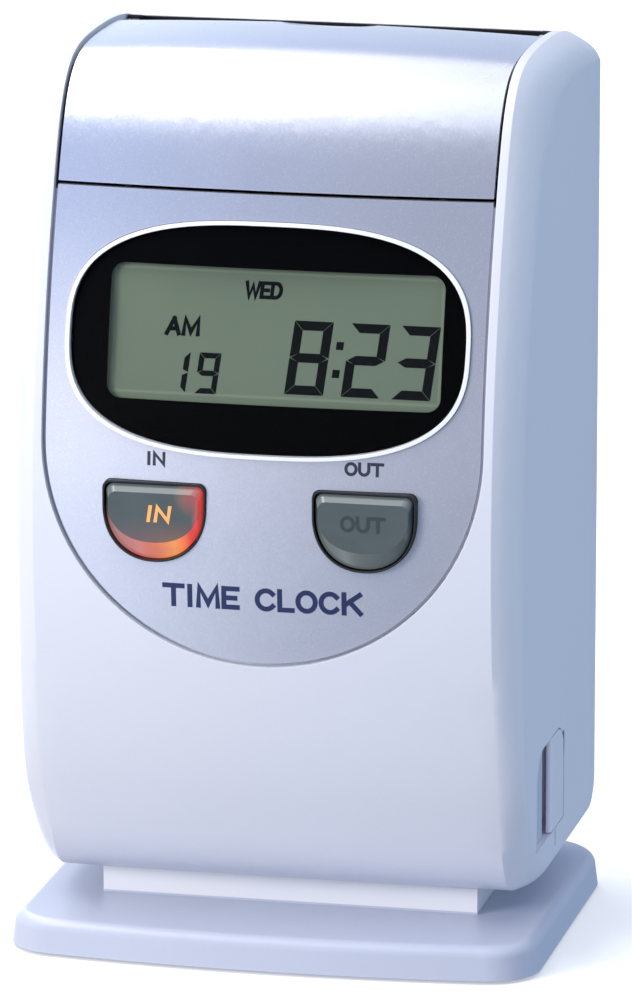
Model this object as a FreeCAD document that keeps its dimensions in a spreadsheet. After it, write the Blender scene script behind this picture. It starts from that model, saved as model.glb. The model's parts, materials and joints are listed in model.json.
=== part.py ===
import FreeCAD, Part
import math
import os
import re

# Punch time clock (card time recorder) on a flat stand.
# Frame: +Z up, front faces -Y, +X to the right seen from the front.
# Origin: on the desk under the middle of the machine.  Millimetres.

Vector = FreeCAD.Vector
os.makedirs("parts", exist_ok=True)
doc = FreeCAD.newDocument("punch_time_clock")

# ---------------------------------------------------------------- driving sizes
# alias, value, meaning
SIZES = [
    ("body_half", 72.0, "half width of the casing at its side faces"),
    ("rim_half", 64.7, "half width where the edge chamfer starts"),
    ("rear_y", 60.0, "rear face of the casing"),
    ("base_z", 18.2, "underside of the casing"),
    ("wall", 2.5, "casing wall"),
    ("crown_front", 3.0, "crown of the front face across the width"),
    ("crown_top", 2.0, "crown of the top across the width"),
    ("split_y", 54.4, "joint line of front casing and rear cover"),
    ("slot_rear", 50.4, "rear edge of the card slot in the casing"),
    ("panel_half", 62.3, "half width and lower radius of the silver zone"),
    ("panel_mid", 151.0, "height of the centre of the lower radius"),
    ("panel_gap", 1.0, "gap round the panel and the lid"),
    ("panel_in", 1.0, "recess of the panel skin"),
    ("panel_back", 2.6, "inset of the inner face of the panel skin"),
    ("lid_z", 219.1, "joint of lid and display panel"),
    ("lid_back", 41.9, "rear edge of the lid"),
    ("lid_dip", 5.0, "extra slope of the lid's rear strip"),
    ("hinge_y", 37.9, "lid hinge axis"),
    ("hinge_z", 248.2, "lid hinge axis"),
    ("pin_rad", 1.2, "lid hinge pin radius"),
    ("lens_mid_x", 0.6, "lens centre"),
    ("lens_mid_z", 179.7, "lens centre"),
    ("lens_half_x", 55.55, "lens half width"),
    ("lens_half_z", 30.65, "lens half height"),
    ("lcd_mid_x", 2.6, "display window centre"),
    ("lcd_mid_z", 180.6, "display window centre"),
    ("lcd_tilt", -12.5, "lean of the display module"),
    ("key_x", 29.6, "punch button centre distance from the middle"),
    ("key_top", 140.2, "top edge of the button opening"),
    ("key_half", 14.6, "half width of the button opening"),
    ("key_high", 22.6, "height of the button opening"),
    ("key_gap", 0.35, "gap between cap and surround"),
    ("card_front", 43.4, "front wall of the card way"),
    ("card_rear", 49.4, "rear wall of the card way"),
    ("card_half", 44.0, "half width of the card way"),
    ("card_line", 46.4, "plane in which the card runs"),
    ("feed_z", 170.0, "height of the feed rollers"),
    ("roller_rad", 5.2, "feed and pinch roller radius"),
    ("shaft_rad", 1.5, "feed and pinch shaft radius"),
    ("feed_module", 0.5, "module of the feed gears"),
    ("feed_teeth", 20, "teeth of the feed gear"),
    ("pinion_teeth", 10, "teeth of the motor pinion"),
    ("plate_half", 46.0, "inner face of the chassis side plates"),
    ("sheet_mm", 1.2, "chassis sheet thickness"),
    ("shelf_z", 197.8, "underside of the mechanism shelf"),
    ("rod_y", 16.0, "guide rods"),
    ("rod_low", 206.0, "lower guide rod"),
    ("rod_high", 222.0, "upper guide rod"),
    ("rod_rad", 2.5, "guide rod radius"),
    ("pulley_x", 52.0, "pulley axis distance from the middle"),
    ("pulley_y", 2.0, "pulley axes"),
    ("pulley_rad", 5.75, "pulley radius under the belt"),
    ("belt_z", 211.0, "lower edge of the belt"),
    ("belt_wide", 6.0, "belt width"),
    ("door_front", -27.0, "front edge of the port cover"),
    ("door_edge", -6.5, "free edge of the port cover, behind the finger pocket"),
    ("door_hinge", 11.5, "port cover hinge axis"),
    ("door_low", 31.0, "lower edge of the port cover"),
    ("door_high", 58.5, "upper edge of the port cover"),
    ("door_corner", 9.5, "corner radius of the port cover"),
    ("door_gap", 0.4, "gap round the port cover"),
    ("stand_half", 75.9, "half width of the stand at its foot"),
    ("stand_front", -58.9, "foremost point of the stand"),
    ("stand_bow", 5.8, "bow of the stand's front edge"),
    ("stand_rear", 62.1, "rear edge of the stand"),
    ("stand_low", 1.0, "underside of the stand"),
    ("stand_top", 10.5, "upper face of the stand"),
    ("stand_taper", 7.0, "slope of the stand's edge in degrees"),
    ("plinth_half", 54.2, "half width of the plinth"),
    ("plinth_front", -22.5, "front face of the plinth"),
    ("plinth_top", 18.1, "top of the plinth"),
    ("foot_rad", 7.0, "rubber foot radius"),
    ("run_fit", 0.06, "radial clearance of a running fit"),
    ("press_fit", 0.02, "radial clearance of a press fit"),
]
sheet = doc.addObject("Spreadsheet::Sheet", "dims")
for row, (alias, value, meaning) in enumerate(SIZES, 1):
    sheet.set("A%d" % row, meaning)
    sheet.set("B%d" % row, str(value))
    sheet.setAlias("B%d" % row, alias)
doc.recompute()
ALIASES = {entry[0] for entry in SIZES}


class Dims:
    """Spreadsheet values as plain numbers: dim.wall."""
    def __getattr__(self, name):
        return float(sheet.get(name))


dim = Dims()

SIDES = (-1, 1)  # left, right
AXES = {"x": Vector(1, 0, 0), "y": Vector(0, 1, 0), "z": Vector(0, 0, 1)}
NODES = []


# ---------------------------------------------------------------- document objects
# A size or place given as text is an expression in the spreadsheet's aliases.
def bound(text):
    return re.sub(r"[a-z_]+", lambda word: "dims." + word[0] if word[0] in ALIASES else word[0], text)


def put(obj, prop, value):
    if isinstance(value, str):
        obj.setExpression(prop, bound(value))
    else:
        setattr(obj, prop, value)


def place(obj, x, y, z, axis="z"):
    """Move obj to x, y, z and turn its own Z along axis."""
    base = Vector(*[0 if isinstance(value, str) else value for value in (x, y, z)])
    obj.Placement = FreeCAD.Placement(base, FreeCAD.Rotation(AXES["z"], AXES[axis]))
    for letter, value in zip("xyz", (x, y, z)):
        if isinstance(value, str):
            put(obj, "Placement.Base." + letter, value)
    return obj


def span(low, high):
    if isinstance(low, str) or isinstance(high, str):
        return "(%s) - (%s)" % (high, low)
    return high - low


def box(x0, x1, y0, y1, z0, z1):
    obj = doc.addObject("Part::Box", "Box")
    put(obj, "Length", span(x0, x1))
    put(obj, "Width", span(y0, y1))
    put(obj, "Height", span(z0, z1))
    return place(obj, x0, y0, z0)


def side_box(side, inner, outer, *rest):
    """Box between two distances from the middle, on the left or right side."""
    if side > 0:
        return box(inner, outer, *rest)
    return box("-(%s)" % outer, "-(%s)" % inner, *rest)


def cyl(axis, radius, length, x, y, z):
    obj = doc.addObject("Part::Cylinder", "Cylinder")
    put(obj, "Radius", radius)
    put(obj, "Height", length)
    return place(obj, x, y, z, axis)


def cross_bar(radius, half, y, z):
    """Cylinder along X, centred on the middle of the machine."""
    return cyl("x", radius, 2 * half, -half, y, z)


def fuse(*objs):
    obj = doc.addObject("Part::MultiFuse", "Fuse")
    obj.Shapes = list(objs)
    return obj


def cut(base, *tools):
    for tool in tools:
        obj = doc.addObject("Part::Cut", "Cut")
        obj.Base = base
        obj.Tool = tool
        base = obj
    return base


def group(*objs):
    obj = doc.addObject("Part::Compound", "Group")
    obj.Links = list(objs)
    return obj


def feature(shape, name):
    obj = doc.addObject("Part::Feature", name)
    obj.Shape = shape
    return obj


def node(name, item):
    """Register a piece, given as a document object or a shape."""
    if isinstance(item, Part.Shape):
        item = feature(item, name)
    item.Label = name
    NODES.append((name, item))


# ---------------------------------------------------------------- plain shapes
def slab(x0, x1, y0, y1, z0, z1):
    return Part.makeBox(x1 - x0, y1 - y0, z1 - z0, Vector(x0, y0, z0))


def side_slab(side, inner, outer, *rest):
    x0, x1 = sorted((side * inner, side * outer))
    return slab(x0, x1, *rest)


def region(x0=-90, x1=90, y0=-90, y1=90, z0=0, z1=280):
    """Box that reaches clear of the machine wherever no bound is given."""
    return slab(x0, x1, y0, y1, z0, z1)


def rod(axis, radius, length, x, y, z):
    return Part.makeCylinder(radius, length, Vector(x, y, z), AXES[axis])


def side_rod(side, inner, outer, radius, y, z):
    return rod("x", radius, outer - inner, min(side * inner, side * outer), y, z)


def line(start, end):
    return Part.makeLine(start, end)


def arc(start, middle, end):
    return Part.Arc(start, middle, end).toShape()


def corner(start, sharp, end):
    """Quarter circle that rounds the right angle at sharp."""
    return arc(start, sharp + (start + end - sharp * 2) * (1 - math.sqrt(0.5)), end)


def extrude(wire, x=0, y=0, z=0):
    return Part.Face(wire).extrude(Vector(x, y, z))


# ---------------------------------------------------------------- casing surface
# Side profiles (y, z) from the underside, up the front and along the top to the rear face.
RIM = [
    (-22.0, 18.2), (-29.5, 19.8), (-35.5, 24.5), (-40.0, 32.0), (-44.4, 42.5), (-48.6, 54.0),
    (-52.3, 68.0), (-55.7, 86.0), (-57.9, 105.0), (-58.7, 125.0), (-57.9, 145.0), (-55.5, 165.2),
    (-51.6, 185.0), (-46.2, 204.5), (-40.4, 221.2), (-36.0, 232.2), (-31.6, 240.5), (-26.5, 246.6),
    (-19.5, 251.0), (-11.0, 253.0), (0.0, 253.7), (12.0, 253.8), (25.0, 253.5), (38.0, 252.6),
    (50.0, 250.8), (60.0, 247.4)]
CREASE = [
    (-9.0, 22.5), (-16.0, 24.6), (-22.5, 28.4), (-29.0, 33.6), (-36.0, 41.0), (-41.3, 49.5),
    (-44.2, 62.0), (-46.0, 82.0), (-46.9, 103.0), (-47.0, 124.0), (-46.1, 144.0), (-43.9, 163.0),
    (-40.2, 182.0), (-35.0, 200.5), (-29.6, 215.5), (-24.4, 225.2), (-20.0, 231.0), (-15.2, 235.4),
    (-9.5, 238.6), (-2.8, 240.9), (5.0, 242.2), (14.5, 242.8), (26.0, 242.8), (38.0, 242.3),
    (49.5, 241.5), (60.0, 240.4)]
CREASE_FLOOR = CREASE[0][1]
HEEL_RADIUS = 9.0       # lower rear edge
BAND_PROFILE = 0.37     # middle section of the edge band: share of the way from rim to crease
BAND_WIDTH = 0.62       # and its share of the way out to the side face
RIM_INSET = 0.42        # inset of the rim's half width per unit of wall inset


def normals(points):
    """Outward normals (y, z) of a profile."""
    result = []
    for i in range(len(points)):
        before = points[max(i - 1, 0)]
        after = points[min(i + 1, len(points) - 1)]
        dy, dz = after[0] - before[0], after[1] - before[1]
        length = math.hypot(dy, dz)
        result.append((-dz / length, dy / length))
    return result


def pole_curve(poles):
    """Clamped uniform cubic curve on the given poles, so that every section shares its knots."""
    count = len(poles)
    curve = Part.BSplineCurve()
    curve.buildFromPolesMultsKnots(poles, [4] + [1] * (count - 4) + [4],
                                   list(range(count - 2)), False, 3)
    return curve.toShape()


def section(x, profile, floor, inset, bulge):
    """Closed casing section at x; bulge is the share of the crown added to the profile."""
    points = []
    for (y, z), (ny, nz) in zip(profile, normals(profile)):
        y += dim.crown_front * bulge * min(0.0, ny)
        # the crown of the top dies out towards the rear
        fade = 1.0 - max(0.0, min(1.0, (y - 20.0) / 30.0)) ** 1.5
        z += dim.crown_top * bulge * max(0.0, nz) * fade
        points.append((y - ny * inset, z - nz * inset))
    low = floor + inset
    back = dim.rear_y - inset
    front = profile[0][0]
    points[0] = (front, low)
    # last point moved along the top line on to the rear plane
    (y0, z0), (y1, z1) = points[-2:]
    top = z0 + (z1 - z0) * (back - y0) / (y1 - y0)
    points[-1] = (back, top)
    heel_up = Vector(x, back, low + HEEL_RADIUS)
    heel_in = Vector(x, back - HEEL_RADIUS, low)
    return Part.Wire([pole_curve([Vector(x, y, z) for y, z in points]),
                      line(Vector(x, back, top), heel_up),
                      corner(heel_up, Vector(x, back, low), heel_in),
                      line(heel_in, Vector(x, front, low))])


def body_solid(inset):
    """The whole outer form, drawn in by inset."""
    side_x = dim.body_half - inset
    rim_x = dim.rim_half - RIM_INSET * inset
    middle = [section(x, RIM, dim.base_z, inset, bulge)
              for x, bulge in ((-rim_x, 0.0), (0.0, 1.0), (rim_x, 0.0))]
    core = Part.makeLoft(middle, True, False)
    # convex edge band: its middle section lies outside the straight line from rim to crease
    band = [(y0 + BAND_PROFILE * (y1 - y0), z0 + BAND_PROFILE * (z1 - z0))
            for (y0, z0), (y1, z1) in zip(RIM, CREASE)]
    band_x = rim_x + BAND_WIDTH * (side_x - rim_x)
    band_floor = dim.base_z + BAND_PROFILE * (CREASE_FLOOR - dim.base_z)

    def edge_sections(side):
        return [section(side * band_x, band, band_floor, inset, 0.0),
                section(side * side_x, CREASE, CREASE_FLOOR, inset, 0.0)]

    left = Part.makeLoft(edge_sections(-1)[::-1] + [middle[0]], True, False)
    right = Part.makeLoft([middle[2]] + edge_sections(1), True, False)
    solid = core.fuse([left, right])
    if len(solid.Solids) != 1:
        raise SystemExit("casing form at inset %s has %d solids" % (inset, len(solid.Solids)))
    return solid


form_cache = {}


def form(inset):
    if inset not in form_cache:
        form_cache[inset] = body_solid(inset)
    return form_cache[inset]


def skin(outer, inner):
    """Layer of the casing form between two insets."""
    return form(outer).cut(form(inner))


# ---------------------------------------------------------------- outlines
OPENING_BACK = 42.4  # rear end of the zone behind the front openings


def prism(wire, y0=-90.0, y1=OPENING_BACK):
    """Straight prism along Y from a closed wire drawn at y = 0."""
    moved = wire.copy()
    moved.translate(Vector(0, y0, 0))
    return extrude(moved, y=y1 - y0)


def u_wire(half, top=270.0):
    """U outline: half width, lower half circle about panel_mid."""
    mid = dim.panel_mid
    left_top, left_mid = Vector(-half, 0, top), Vector(-half, 0, mid)
    right_mid, right_top = Vector(half, 0, mid), Vector(half, 0, top)
    return Part.Wire([line(left_top, left_mid), arc(left_mid, Vector(0, 0, mid - half), right_mid),
                      line(right_mid, right_top), line(right_top, left_top)])


def signed_power(value, power):
    return math.copysign(abs(value) ** power, value)


def lens_wire(grow_x, grow_z, power=2.8, count=48):
    """Superellipse round the lens centre, larger than the lens by grow_x and grow_z."""
    points = []
    for i in range(count):
        angle = 2 * math.pi * i / count
        across = signed_power(math.cos(angle), 2 / power)
        up = signed_power(math.sin(angle), 2 / power)
        points.append(Vector(dim.lens_mid_x + (dim.lens_half_x + grow_x) * across, 0,
                             dim.lens_mid_z + (dim.lens_half_z + grow_z) * up))
    curve = Part.BSplineCurve()
    curve.interpolate(points, PeriodicFlag=True)
    return Part.Wire([curve.toShape()])


def window_wire(half_x, half_z, radius):
    """Rounded rectangle round the display window centre."""
    def point(x, z):
        return Vector(dim.lcd_mid_x + x, 0, dim.lcd_mid_z + z)

    edges = []
    for side, up in ((1, -1), (1, 1), (-1, 1), (-1, -1)):
        on_flat = point(side * (half_x - radius), up * half_z)
        on_side = point(side * half_x, up * (half_z - radius))
        edges.append(corner(on_flat, point(side * half_x, up * half_z), on_side))
    for sign in SIDES:
        edges.append(line(point(-half_x + radius, sign * half_z),
                          point(half_x - radius, sign * half_z)))
        edges.append(line(point(sign * half_x, -half_z + radius),
                          point(sign * half_x, half_z - radius)))
    return Part.Wire(Part.__sortEdges__(edges))


def button_wire(mid_x, grow, drop=0.0, lift=0.0):
    """Outline of a punch button: flat top lowered by drop, round bottom raised by lift."""
    half = dim.key_half + grow
    top = dim.key_top + grow - drop
    bottom = dim.key_top - dim.key_high - grow + lift
    shoulder = dim.key_top - 7.0  # where the round part begins
    radius = 2.2
    roundness = 0.92
    steps = 14

    def point(x, z):
        return Vector(mid_x + x, 0, z)

    points = []
    for i in range(steps + 1):
        angle = math.pi * i / steps
        points.append(point(-half * signed_power(math.cos(angle), roundness),
                            shoulder - (shoulder - bottom) * math.sin(angle) ** roundness))
    lower = Part.BSplineCurve()
    lower.interpolate(points)
    left, left_top = point(-half, top - radius), point(-half + radius, top)
    right, right_top = point(half, top - radius), point(half - radius, top)
    return Part.Wire([line(left, point(-half, shoulder)), lower.toShape(),
                      line(point(half, shoulder), right),
                      corner(right, point(half, top), right_top), line(right_top, left_top),
                      corner(left_top, point(-half, top), left)])


def door_wire(grow, x):
    """Outline of the port opening in the side face: square below, arched above."""
    y0, y1 = dim.door_front - grow, dim.door_hinge + 1.2 + grow
    z0, z1 = dim.door_low - grow, dim.door_high + grow
    radius = dim.door_corner + grow
    front_low, rear_low = Vector(x, y0, z0), Vector(x, y1, z0)
    rear, rear_top = Vector(x, y1, z1 - radius), Vector(x, y1 - radius, z1)
    front, front_top = Vector(x, y0, z1 - radius), Vector(x, y0 + radius, z1)
    return Part.Wire([line(front_low, rear_low), line(rear_low, rear),
                      corner(rear, Vector(x, y1, z1), rear_top), line(rear_top, front_top),
                      corner(front_top, Vector(x, y0, z1), front), line(front, front_low)])


# ---------------------------------------------------------------- casings
HALF_JOINT = 0.05       # half the gap between front casing and rear cover
BOSS_RADIUS = 4.2
BOSSES = [(side * 65.6, z) for side in SIDES for z in (36.0, 230.0)]    # x, z
STAND_FIXES = [(side * 38.0, y) for side in SIDES for y in (-8.0, 40.0)]  # x, y
DOOR_PIN_X = 70.8
JACK_X, JACK_Z = -48.0, 36.0
SHELL = skin(0.0, dim.wall)


def panel_ledge():
    """Ledge inside the opening that carries the display panel."""
    outside = prism(u_wire(dim.panel_half + 3.0))
    outer_ring = outside.cut(prism(u_wire(dim.panel_half + 0.5)))
    inner_ring = outside.cut(prism(u_wire(dim.panel_half - 3.2)))
    below = region(y1=OPENING_BACK, z1=217.0)
    raised = skin(2.0, 4.3).common(outer_ring).common(below)
    return raised.fuse(skin(2.75, 4.3).common(inner_ring).common(below))


def front_casing():
    half = dim.panel_half
    casing = SHELL.common(region(y1=dim.split_y - HALF_JOINT))
    # opening for the silver zone and the card slot
    casing = casing.cut(prism(u_wire(half)))
    casing = casing.cut(slab(-half, half, 42.0, dim.slot_rear, 238, 280))
    strip = slab(-half - 4.0, half + 4.0, dim.slot_rear, dim.slot_rear + 1.6, 238.0, 256.0)
    casing = casing.fuse(strip.common(form(0.4)))
    casing = casing.fuse(panel_ledge())
    # bosses for the rear cover screws, each against a side wall
    for x, z in BOSSES:
        boss = rod("y", BOSS_RADIUS, dim.split_y - 0.3 - 28.0, x, 28.0, z)
        casing = casing.fuse(boss.common(form(0.6)))
        casing = casing.cut(rod("y", 1.5, 16.0, x, dim.split_y - 15.0, z))
    # hinge bearings of the lid
    for side in SIDES:
        block = side_slab(side, half, half + 4.2, 33.0, OPENING_BACK, 243.6, 252.0)
        casing = casing.fuse(block.common(form(0.4)))
        casing = casing.cut(side_rod(side, half - 0.2, half + 3.2, dim.pin_rad + dim.run_fit,
                                     dim.hinge_y, dim.hinge_z))
    # port opening with its pocket in the right side
    pocket = slab(63.0, 70.5, dim.door_front - 2.0, dim.door_hinge + 3.6,
                  dim.door_low - 2.0, dim.door_high + 2.0)
    hollow = extrude(door_wire(dim.door_gap, 60.0), x=20)
    casing = casing.fuse(pocket.common(form(0.6))).cut(hollow)
    # knuckle slot, so that the cover can swing right round its pin
    height = dim.door_high - dim.door_low
    for radius, length, z in ((1.85, height - 1.9, dim.door_low - dim.door_gap),
                              (1.06, height + 3.0, dim.door_low - 1.5)):
        casing = casing.cut(rod("z", radius, length, DOOR_PIN_X, dim.door_hinge, z))
    # short upright groove in the side face below the port
    casing = casing.cut(slab(71.2, 73.0, -0.9, 0.9, 25.5, 30.2))
    # screw holes of the stand
    for x, y in STAND_FIXES:
        casing = casing.fuse(rod("z", 4.0, 12.0, x, y, dim.base_z + 1.0).common(form(0.5)))
        casing = casing.cut(rod("z", 1.5, 12.0, x, y, dim.base_z - 1.0))
    return casing


def rear_cover():
    rear = dim.rear_y
    cover = SHELL.common(region(y0=dim.split_y + HALF_JOINT))
    # screw tubes with countersunk heads
    for x, z in BOSSES:
        tube = rod("y", BOSS_RADIUS, rear - 1.0 - dim.split_y - 0.2, x, dim.split_y + 0.2, z)
        cover = cover.fuse(tube.common(form(0.6)))
        cover = cover.cut(rod("y", 1.7, 14.0, x, dim.split_y - 1.0, z))
        cover = cover.cut(rod("y", 3.0, 3.2, x, rear - 2.6, z))
    cover = cover.cut(rod("y", 4.6, 6.0, JACK_X, rear - 4.0, JACK_Z))
    # shallow blank label recess and vents
    cover = cover.cut(slab(-38.0, 38.0, rear - 0.5, rear + 1, 60.0, 96.0))
    for i in range(7):
        z = 186.0 + 6.0 * i
        cover = cover.cut(slab(-30.0, 30.0, rear - 4, rear + 1, z, z + 2.2))
    return cover


node("front_casing", front_casing())
node("rear_cover", rear_cover())

# ---------------------------------------------------------------- silver panel, lens, display
PANEL_SKIN = skin(dim.panel_in, dim.panel_back)
PANEL_ZONE = prism(u_wire(dim.panel_half - dim.panel_gap), y1=dim.lid_back)


def display_panel():
    panel = PANEL_SKIN.common(PANEL_ZONE).common(region(z1=dim.lid_z - dim.panel_gap / 2))
    panel = panel.cut(prism(lens_wire(1.55, 1.4)))
    for side in SIDES:
        panel = panel.cut(prism(button_wire(side * dim.key_x, 0.1)))
    return panel


node("display_panel", display_panel())
bezel_ring = prism(lens_wire(1.4, 1.25)).cut(prism(lens_wire(0.2, 0.2)))
node("lens_bezel", skin(0.35, 2.45).common(bezel_ring))
node("display_lens", skin(0.7, 2.1).common(prism(lens_wire(0.0, 0.0))))
mask_zone = prism(lens_wire(-0.1, -0.1)).cut(prism(window_wire(47.0, 18.3, 4.0)))
node("lens_mask", skin(2.2, 2.6).common(mask_zone))

LCD_FRONT = -49.2


def leaning(obj):
    """Tilt a part of the display module about its front face at mid height."""
    tilted = group(obj)
    tilted.Placement = FreeCAD.Placement(
        Vector(0, 0, 0), FreeCAD.Rotation(AXES["x"], dim.lcd_tilt),
        Vector(dim.lcd_mid_x, LCD_FRONT, dim.lcd_mid_z))
    return tilted


def lcd_box(half_x, half_z, y0, y1):
    """Box centred on the display window."""
    return box("lcd_mid_x - %s" % half_x, "lcd_mid_x + %s" % half_x, y0, y1,
               "lcd_mid_z - %s" % half_z, "lcd_mid_z + %s" % half_z)


node("lcd_panel", leaning(lcd_box(48.8, 19.9, LCD_FRONT, -46.8)))
node("lcd_holder", leaning(cut(lcd_box(50.5, 21.5, -46.75, -41.0), lcd_box(46, 17, -49.0, -40.0))))
node("display_board", leaning(fuse(
    lcd_box(50.5, 21.5, -40.9, -39.3),
    box(-20.0, -6.0, -39.4, -37.6, 172.0, 186.0),
    box(12.0, 30.0, -39.4, -36.0, 166.0, 171.0),
    box(-38.0, -34.0, -39.4, -38.2, 176.0, 182.0))))


# ---------------------------------------------------------------- lid
STRIP_FRONT = 29.0  # front edge of the steeper rear strip


def lid():
    shape = PANEL_SKIN.common(PANEL_ZONE).common(region(z0=dim.lid_z + dim.panel_gap / 2))
    inside = form(dim.panel_in)
    ribs = [side_slab(side, 59.0, 60.5, -20.0, 34.0, 240.0, 256.0) for side in SIDES]
    ribs = ribs[0].fuse(ribs[1]).common(form(dim.panel_back - 0.2)).common(region(z0=246.4))
    pad = slab(-14.5, 14.5, 20.0, dim.lid_back, 247.4, 258.0).common(inside)
    roll = slab(-57.5, 57.5, STRIP_FRONT, dim.lid_back, dim.hinge_z, 258.0).common(inside)
    shape = shape.fuse([ribs, pad, roll])
    # the last strip before the slot falls away more steeply than the top
    dipped = inside.copy()
    dipped.rotate(Vector(0, STRIP_FRONT, 252.6), AXES["x"], -dim.lid_dip)
    shape = shape.cut(region(y0=STRIP_FRONT, z0=230).cut(dipped))
    # hinge lugs, rear edge rounded about the hinge, and pin bores
    for side in SIDES:
        lug = side_slab(side, 58.2, 61.4, 34.6, 41.2, 245.6, 250.6)
        shape = shape.fuse(lug.common(inside))
    rounding = rod("x", 4.4, 140, -70, dim.hinge_y, dim.hinge_z)
    shape = shape.cut(slab(-70, 70, dim.hinge_y, 60, 230, 270).cut(rounding))
    for side in SIDES:
        shape = shape.cut(side_rod(side, 57.6, 62.0, dim.pin_rad + dim.press_fit,
                                   dim.hinge_y, dim.hinge_z))
    # finger scoop: an ellipsoid, half axes on the diagonal and centre in the last column
    scoop = Part.makeSphere(1.0).transformGeometry(FreeCAD.Matrix(
        16.5, 0, 0, 0,
        0, 14.6, 0, 33.2,
        0, 0, 6.0, 256.4,
        0, 0, 0, 1))
    return shape.cut(scoop)


node("lid", lid())
node("lid_hinge_pins", group(*[cyl("x", "pin_rad", 6.9, x, "hinge_y", "hinge_z")
                               for x in (58.2, -65.1)]))

# ---------------------------------------------------------------- punch buttons
CAP_BACK, CAP_FACE = -59.9, -62.1   # y where the bevel starts and of the cap's face
SWITCH_Z = 129.5
LED_Z = 122.0


def button(mid_x):
    """Cap with a flat face and a bevel that widens to a crescent at its round lower edge."""
    grow = -dim.key_gap - 0.55
    back = button_wire(mid_x, grow)
    face = button_wire(mid_x, grow - 1.0, drop=0.9, lift=3.9)
    back.translate(Vector(0, CAP_BACK, 0))
    face.translate(Vector(0, CAP_FACE, 0))
    cap = Part.makeLoft([back, face], True, True)
    stem = extrude(button_wire(mid_x, grow), y=5.4)
    stem.translate(Vector(0, CAP_BACK, 0))
    cap = cap.fuse(stem)
    flange = slab(mid_x - 9, mid_x + 9, -55.2, -53.4, SWITCH_Z - 7.5, SWITCH_Z + 7.5)
    return cap.fuse(flange).fuse(rod("y", 2.6, 4.4, mid_x, -53.5, SWITCH_Z))


def surround(mid_x):
    outer = prism(button_wire(mid_x, 0.0), -60.75, -56.0)
    return outer.cut(prism(button_wire(mid_x, -0.55), -62.0, -55.0))


def tact_switch(mid_x):
    return fuse(box(mid_x - 3, mid_x + 3, -45.9, -42.45, SWITCH_Z - 3, SWITCH_Z + 3),
                cyl("y", 1.7, 1.5, mid_x, -47.3, SWITCH_Z))


def led(mid_x):
    return fuse(cyl("y", 1.5, 3.6, mid_x + 9.0, -47.5, LED_Z),
                cyl("y", 1.9, 1.4, mid_x + 9.0, -43.9, LED_Z))


KEY_XS = [side * dim.key_x for side in SIDES]
node("in_button", button(KEY_XS[0]))
node("out_button", button(KEY_XS[1]))
node("button_surrounds", Part.makeCompound([surround(x) for x in KEY_XS]))
node("tact_switches", group(*[tact_switch(x) for x in KEY_XS]))
node("indicator_leds", group(*[led(x) for x in KEY_XS]))
node("switch_board", fuse(box(-48, 48, -42.4, -40.8, 110, 148),
                          box(-10, 10, -40.9, -37.4, 112, 117)))

# ---------------------------------------------------------------- electronics
PARTS_Y = -32.35  # front plane of the parts on the main board's rear face
node("main_board", cut(box(-50, 50, -34.0, -32.4, 42, 104),
                       *[cyl("y", 1.7, 4, x, -35, z) for z in (46, 100) for x in (46, -46)]))
# x0, x1, rear y, z0, z1
BOARD_BLOCKS = [
    (-8, 8, -30.4, 76, 92), (16, 26, -30.6, 78, 88), (-30, -12, -25.0, 46, 52),
    (14, 36, -25.0, 94, 99), (-44, -40, -28, 92, 99)]
# radius, length, x, z
BOARD_CANS = [(4.0, 11, -36, 66), (4.0, 11, -26, 66), (2.5, 7, 40, 70)]
blocks = [box(x0, x1, PARTS_Y, rear, z0, z1) for x0, x1, rear, z0, z1 in BOARD_BLOCKS]
cans = [cyl("y", radius, length, x, PARTS_Y, z) for radius, length, x, z in BOARD_CANS]
# the last block follows the cans in the piece's list of solids
node("main_board_parts", group(*(blocks[:-1] + cans + blocks[-1:])))
node("backup_battery", group(*[cyl("x", 7.0, 26, 4, y, 58) for y in (-24.6, -10.4)]))
node("buzzer", cut(cyl("y", 6.0, 6.5, -28, PARTS_Y, 86), cyl("y", 1.0, 3, -28, -28.0, 86)))

jack_body = fuse(box(-52.5, -43.5, 46.0, 57.2, 30.5, 41.5), cyl("y", 4.3, 3.0, JACK_X, 57.0, JACK_Z))
node("dc_jack", fuse(cut(jack_body, cyl("y", 3.2, 9.5, JACK_X, 50.6, JACK_Z)),
                     cyl("y", 1.0, 8.0, JACK_X, 50.0, JACK_Z)))
socket_shell = cut(box(51.0, 65.2, -8.0, 5.2, 40.0, 45.8), box(56.0, 66.0, -7.6, 4.8, 40.4, 45.4))
node("usb_socket", fuse(socket_shell, box(55.5, 64.6, -7.0, 4.2, 43.2, 45.0)))


def port_plate():
    """Plate behind the port cover with the socket opening and the finger pocket's floor."""
    grow = dim.door_gap - 0.15
    plate = extrude(door_wire(grow, 64.9), x=1.4).cut(region(y0=dim.door_hinge + 1.3))
    plate = plate.cut(slab(64, 68, -8.3, 5.5, 39.7, 46.1))
    floor = extrude(door_wire(grow, 66.0), x=dim.body_half - 1.9 - 66.0)
    return plate.fuse(floor.common(region(y1=-10.2))).removeSplitter()


def port_cover():
    """Cover that turns on a vertical pin at its rear edge."""
    side, hinge, edge = dim.body_half, dim.door_hinge, dim.door_edge
    cover = extrude(door_wire(0.0, 68.4), x=3.6)
    knuckle = rod("z", 1.2, dim.door_high - dim.door_corner - dim.door_low,
                  DOOR_PIN_X, hinge, dim.door_low)
    cover = cover.cut(slab(67, 73, hinge, hinge + 3, 0, 80)).fuse(knuckle)
    cover = cover.cut(region(y1=edge)).cut(region(x1=side - 1.5, y1=hinge - 3.0))
    # outer corner of the free edge, rounded
    radius = 1.3
    waste = slab(side - 1.5, 80, edge - 1, edge + radius, 0, 90)
    waste = waste.cut(rod("z", radius, 90, side - radius, edge + radius, 0))
    cover = cover.cut(waste.cut(region(x1=side - radius)))
    return cover.cut(rod("z", 0.62, 60, DOOR_PIN_X, hinge, dim.door_low - 1))


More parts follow.
